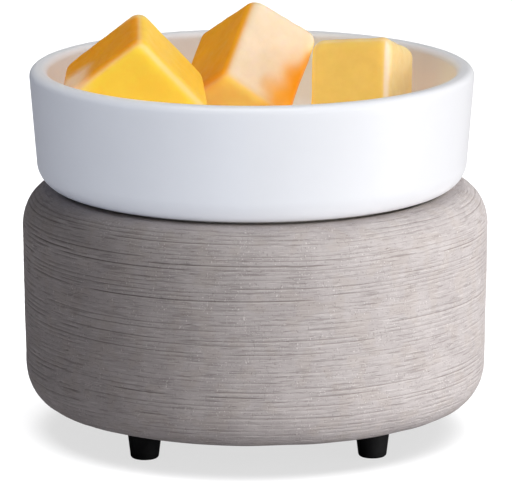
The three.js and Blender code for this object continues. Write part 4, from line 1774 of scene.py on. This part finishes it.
@dataclass
class HotPlate:
    """The turned aluminium plate that the dish stands on, with its studs."""

    thickness: float = 0.002
    edge: float = 0.0004
    ring_pitch: float = 0.0024
    ring_depth: float = 0.00012
    stud_circle: float = 0.036
    stud_radius: float = 0.00195
    thread_pitch: float = 0.0007

    def disc_outline(self, top: float) -> Outline:
        """The disc's outline with fine turned rings on its upper face.

        Args:
            top: level of the upper face.

        Returns:
            Its points.
        """
        low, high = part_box("heater_plate")
        radius = (high.x - low.x) / 2
        soft = (self.edge, self.edge)
        bottom = top - self.thickness
        outline = [(0.0, bottom), (0.02, bottom)]
        outline += arc((radius - self.edge, bottom + self.edge), soft, -90, 0, 3)
        outline += arc((radius - self.edge, top - self.edge), soft, 0, 90, 3)
        spot = radius - self.edge - self.ring_pitch
        while spot > self.ring_pitch:
            outline += [(spot + self.ring_pitch * 0.5, top), (spot, top - self.ring_depth)]
            spot -= self.ring_pitch
        outline += [(0.0, top)]
        return outline

    def stud(self, degrees: float, bottom: float, top: float) -> bpy.types.Object:
        """One threaded stud.

        Args:
            degrees: its place round the plate.
            bottom: level of its lower end.
            top: level where it ends inside the plate.

        Returns:
            The stud.
        """
        outline = [(0.0, bottom), (self.stud_radius * 0.8, bottom)]
        level = bottom + self.thread_pitch / 2
        while level + self.thread_pitch < top - self.thickness:
            outline += [(self.stud_radius, level), (self.stud_radius * 0.86, level + self.thread_pitch / 2)]
            level += self.thread_pitch
        outline += [(self.stud_radius, level), (self.stud_radius, top), (0.0, top)]
        return turned("stud", outline, 32, polar(self.stud_circle, degrees))

    def build(self, material: bpy.types.Material) -> bpy.types.Object:
        """Makes and dresses the plate.

        Args:
            material: the turned aluminium.

        Returns:
            The new piece.
        """
        low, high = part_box("heater_plate")
        disc = turned("hot_plate", self.disc_outline(high.z), 192, sharp_degrees=25.0)
        studs = [self.stud(d, low.z, high.z - self.thickness / 2) for d in (90, 210, 330)]
        plate = joined([disc, *studs])
        plate.data.materials.append(material)
        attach(plate, "warmer_base")
        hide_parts("heater_plate")
        return plate


@dataclass
class HiddenWorks:
    """Carried-over pieces inside the body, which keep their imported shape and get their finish."""

    edge: float = 0.00018

    def finishes(self) -> dict[str, WorkshopFinish]:
        """The finish of each piece by the start of its name."""
        return {
            "plate_gasket": SILICONE,
            "heater_element": MICA,
            "insulation_disc": FIBRE,
            "heater_bracket": ZINC,
            "stud_washer": ZINC,
            "stud_nut": ZINC,
            "rod_nut": ZINC,
            "spacer_rod": BRASS,
            "cutout_screw": ZINC,
            "terminal_fixing_screw": ZINC,
            "terminal_screw": BRASS,
            "terminal_block": STEATITE,
            "thermal_cutout": BAKELITE,
            "lead_": SLEEVE,
        }

    def dress(self, materials: dict[str, bpy.types.Material]) -> list[str]:
        """Puts the finishes on and softens the edges.

        Args:
            materials: each finish's material by name.

        Returns:
            The names of the dressed nodes.
        """
        done = []
        for name, node in sorted(frame["nodes"].items()):
            for start, finish in self.finishes().items():
                if not name.startswith(start):
                    continue
                for slot in node.material_slots:
                    slot.material = materials[finish.name]
                    slot.link = "DATA"
                soft = node.modifiers.new("soft_edges", "BEVEL")
                soft.width = self.edge
                soft.segments = 2
                soft.limit_method = "ANGLE"
                soft.angle_limit = math.radians(50)
                done.append(name)
                break
        return done


# ---------------------------------------------------------------- stage


def direction(azimuth: float, elevation: float) -> Vector:
    """Unit vector towards a place in the studio.

    Args:
        azimuth: degrees from the front towards the right.
        elevation: degrees above level.

    Returns:
        The vector.
    """
    a = math.radians(azimuth)
    e = math.radians(elevation)
    return Vector((math.sin(a) * math.cos(e), -math.cos(a) * math.cos(e), math.sin(e)))


class Lit(Enum):
    """Which things a lamp lights."""

    BASE = "base"
    DISH = "dish"
    WAX = "wax"
    FLOOR = "floor"


@dataclass(frozen=True)
class Softbox:
    """A large soft lamp aimed at the object's middle."""

    name: str
    azimuth: float
    elevation: float
    power: float
    lit: Lit
    tint: Colour = (1.0, 1.0, 1.0)
    distance: float = 0.9
    width: float = 0.8
    height: float = 0.55

    def build(self, target: Vector, groups: dict[Lit, bpy.types.Collection]) -> bpy.types.Object:
        """Hangs the lamp.

        Args:
            target: what it is aimed at.
            groups: the collection that each choice lights.

        Returns:
            The lamp.
        """
        data = bpy.data.lights.new(self.name, "AREA")
        data.shape = "RECTANGLE"
        data.size = self.width
        data.size_y = self.height
        data.energy = self.power
        data.color = self.tint
        lamp = bpy.data.objects.new(self.name, data)
        bpy.context.scene.collection.objects.link(lamp)
        away = direction(self.azimuth, self.elevation)
        lamp.location = target + away * self.distance
        lamp.rotation_mode = "QUATERNION"
        lamp.rotation_quaternion = away.to_track_quat("Z", "Y")
        lamp.light_linking.receiver_collection = groups[self.lit]
        return lamp


@dataclass
class Studio:
    """Pale floor, soft lamps, pale surroundings and the camera."""

    aim: tuple[float, float, float] = (0.0, 0.0, 0.059)
    distance: float = 1.5
    elevation: float = 12.2
    turn: float = -1.7
    lens: float = 392.1
    drop: float = -0.0082
    slide: float = 0.0002
    floor_reach: float = 3.0
    floor_drop: float = 0.00002
    floor_low: Colour = (0.265, 0.265, 0.268)
    floor_high: Colour = (0.275, 0.275, 0.278)
    floor_glow: float = 0.69
    floor_dull: Colour = (0.146, 0.144, 0.149)
    room_left: Colour = (0.066, 0.066, 0.074)
    room_right: Colour = (0.510, 0.510, 0.510)

    def camera(self) -> None:
        """Sets up the long-lens camera."""
        away = direction(self.turn, self.elevation)
        data = bpy.data.cameras.new("view")
        data.lens = self.lens
        data.sensor_width = 36.0
        data.clip_start = 0.05
        data.clip_end = 20.0
        camera = bpy.data.objects.new("view", data)
        bpy.context.scene.collection.objects.link(camera)
        camera.rotation_mode = "QUATERNION"
        camera.rotation_quaternion = (-away).to_track_quat("-Z", "Y")
        right = camera.rotation_quaternion @ Vector((1, 0, 0))
        up = camera.rotation_quaternion @ Vector((0, 1, 0))
        camera.location = Vector(self.aim) + away * self.distance + up * self.drop + right * self.slide
        bpy.context.scene.camera = camera

    def floor(self) -> bpy.types.Object:
        """Lays the pale floor, which shows only from above.

        Returns:
            The floor.
        """
        reach = self.floor_reach
        corners = np.array([[-reach, -reach, 0], [reach, -reach, 0], [reach, reach, 0], [-reach, reach, 0]])
        floor = mesh_object("studio_floor", corners - np.array([0, 0, self.floor_drop]), [(0, 1, 2, 3)])
        material, bench, shader = open_material("studio_floor")
        place = bench.put("ShaderNodeTexCoord").outputs["Object"]
        tone = EFFECTS.use(bench, "mottle", Vector=place, Size=0.5, Low=self.floor_low, High=self.floor_high)
        bench.tree.links.new(tone.outputs[0], shader.inputs["Base Color"])
        shader.inputs["Roughness"].default_value = 0.9
        shader.inputs["Specular IOR Level"].default_value = 0.0
        shader.inputs["Emission Color"].default_value = (1.0, 1.0, 1.0, 1.0)
        shader.inputs["Emission Strength"].default_value = self.floor_glow
        dull = bench.put("ShaderNodeBsdfDiffuse", {"Color": (*self.floor_dull, 1.0)}).outputs[0]
        direct = bench.put("ShaderNodeLightPath").outputs["Is Camera Ray"]
        above = bench.put("ShaderNodeMixShader", {0: direct, 1: dull, 2: shader.outputs[0]}).outputs[0]
        clear = bench.put("ShaderNodeBsdfTransparent").outputs[0]
        behind = bench.put("ShaderNodeNewGeometry").outputs["Backfacing"]
        mixed = bench.put("ShaderNodeMixShader", {0: behind, 1: above, 2: clear}).outputs[0]
        bench.tree.links.new(mixed, bench.tree.nodes["Material Output"].inputs["Surface"])
        floor.data.materials.append(material)
        floor.visible_shadow = False
        floor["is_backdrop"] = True
        return floor

    def surroundings(self) -> None:
        """Makes the room: dim and cool on the left, bright on the right, white where it is seen directly."""
        world = bpy.data.worlds.new("room")
        bpy.context.scene.world = world
        world.use_nodes = True
        bench = NodeBench(world.node_tree)
        bench.tree.nodes.clear()
        aim = bench.put("ShaderNodeTexCoord").outputs["Generated"]
        side = bench.put("ShaderNodeSeparateXYZ", {0: aim}).outputs[0]
        share = bench.spread(side, -0.9, 0.9)
        room = bench.blend(share, self.room_left, self.room_right)
        lighting = bench.put("ShaderNodeBackground", {0: room, 1: 1.0}).outputs[0]
        white = bench.put("ShaderNodeBackground", {0: (1.0, 1.0, 1.0, 1.0), 1: 1.0}).outputs[0]
        direct = bench.put("ShaderNodeLightPath").outputs["Is Camera Ray"]
        mixed = bench.put("ShaderNodeMixShader", {0: direct, 1: lighting, 2: white}).outputs[0]
        bench.put("ShaderNodeOutputWorld", {0: mixed})

    def lamps(self) -> list[Softbox]:
        """The studio's lamps."""
        return [
            Softbox("key_base", 58, 16, 10.4, Lit.BASE, (1.0, 1.0, 0.985)),
            Softbox("key_dish", 70, -12, 6.3, Lit.DISH, (1.0, 0.985, 1.0)),
            Softbox("front_dish", 10, -14, 3.0, Lit.DISH, (0.88, 0.93, 1.0)),
            Softbox("cool_dish", -60, -10, 1.9, Lit.DISH, (0.45, 0.62, 1.0)),
            Softbox("top_dish", -10, 75, 4.6, Lit.DISH, (0.96, 0.97, 1.0)),
            Softbox("left_wax", -75, 30, 3.1, Lit.WAX),
            Softbox("top_wax", 20, 40, 4.3, Lit.WAX),
            Softbox("right_wax", 85, 5, 5.4, Lit.WAX),
            Softbox("floor_lamp", 30, 75, 60.0, Lit.FLOOR, distance=1.2, width=1.4, height=1.2),
        ]

    def build(self) -> None:
        """Sets the stage; the hot plate, which the dish covers, is lit with the dish."""
        floor = self.floor()
        self.surroundings()
        self.camera()
        groups = {lit: bpy.data.collections.new(f"lit_{lit.value}") for lit in Lit}
        groups[Lit.FLOOR].objects.link(floor)
        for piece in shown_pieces():
            body = body_of(piece)[0]
            lit = {"warmer_base": Lit.BASE, "dish_body": Lit.DISH}.get(body, Lit.WAX)
            if piece.name == "hot_plate":
                lit = Lit.DISH
            groups[lit].objects.link(piece)
        for lamp in self.lamps():
            lamp.build(Vector(self.aim), groups)
        bpy.context.scene.view_settings.view_transform = "Standard"
        bpy.context.scene.view_settings.look = "None"


# ---------------------------------------------------------------- the whole warmer


def report(pieces: list[bpy.types.Object]) -> None:
    """Logs each piece and how many faces it has."""
    for piece in pieces:
        LOG.info("%s: %d faces", piece.name, len(piece.data.polygons))


def main() -> None:
    """Builds every sub-assembly in order, then the stage."""
    logging.basicConfig(level=logging.INFO, format="%(name)s %(message)s")
    shared = [RUBBER, ALUMINIUM, SILICONE, MICA, FIBRE, ZINC, POWDER_COAT, STEATITE, BAKELITE, SLEEVE, BRASS]
    materials = {finish.name: finish.material() for finish in shared}
    report([StonewareBody().build()])
    report([LiftOutDish().build()])
    report(WaxLoad().build())
    report(RubberFeet().build(materials["black_rubber"]))
    report(BaseClosure().build(materials["black_steel"], materials["zinc_steel"]))
    report([CordInlet().build(materials["black_rubber"])])
    report([HotPlate().build(materials["plate_aluminium"])])
    for name in HiddenWorks().dress(materials):
        LOG.info("%s: packed shape kept", name)
    Studio().build()


if __name__ == "__main__":
    main()
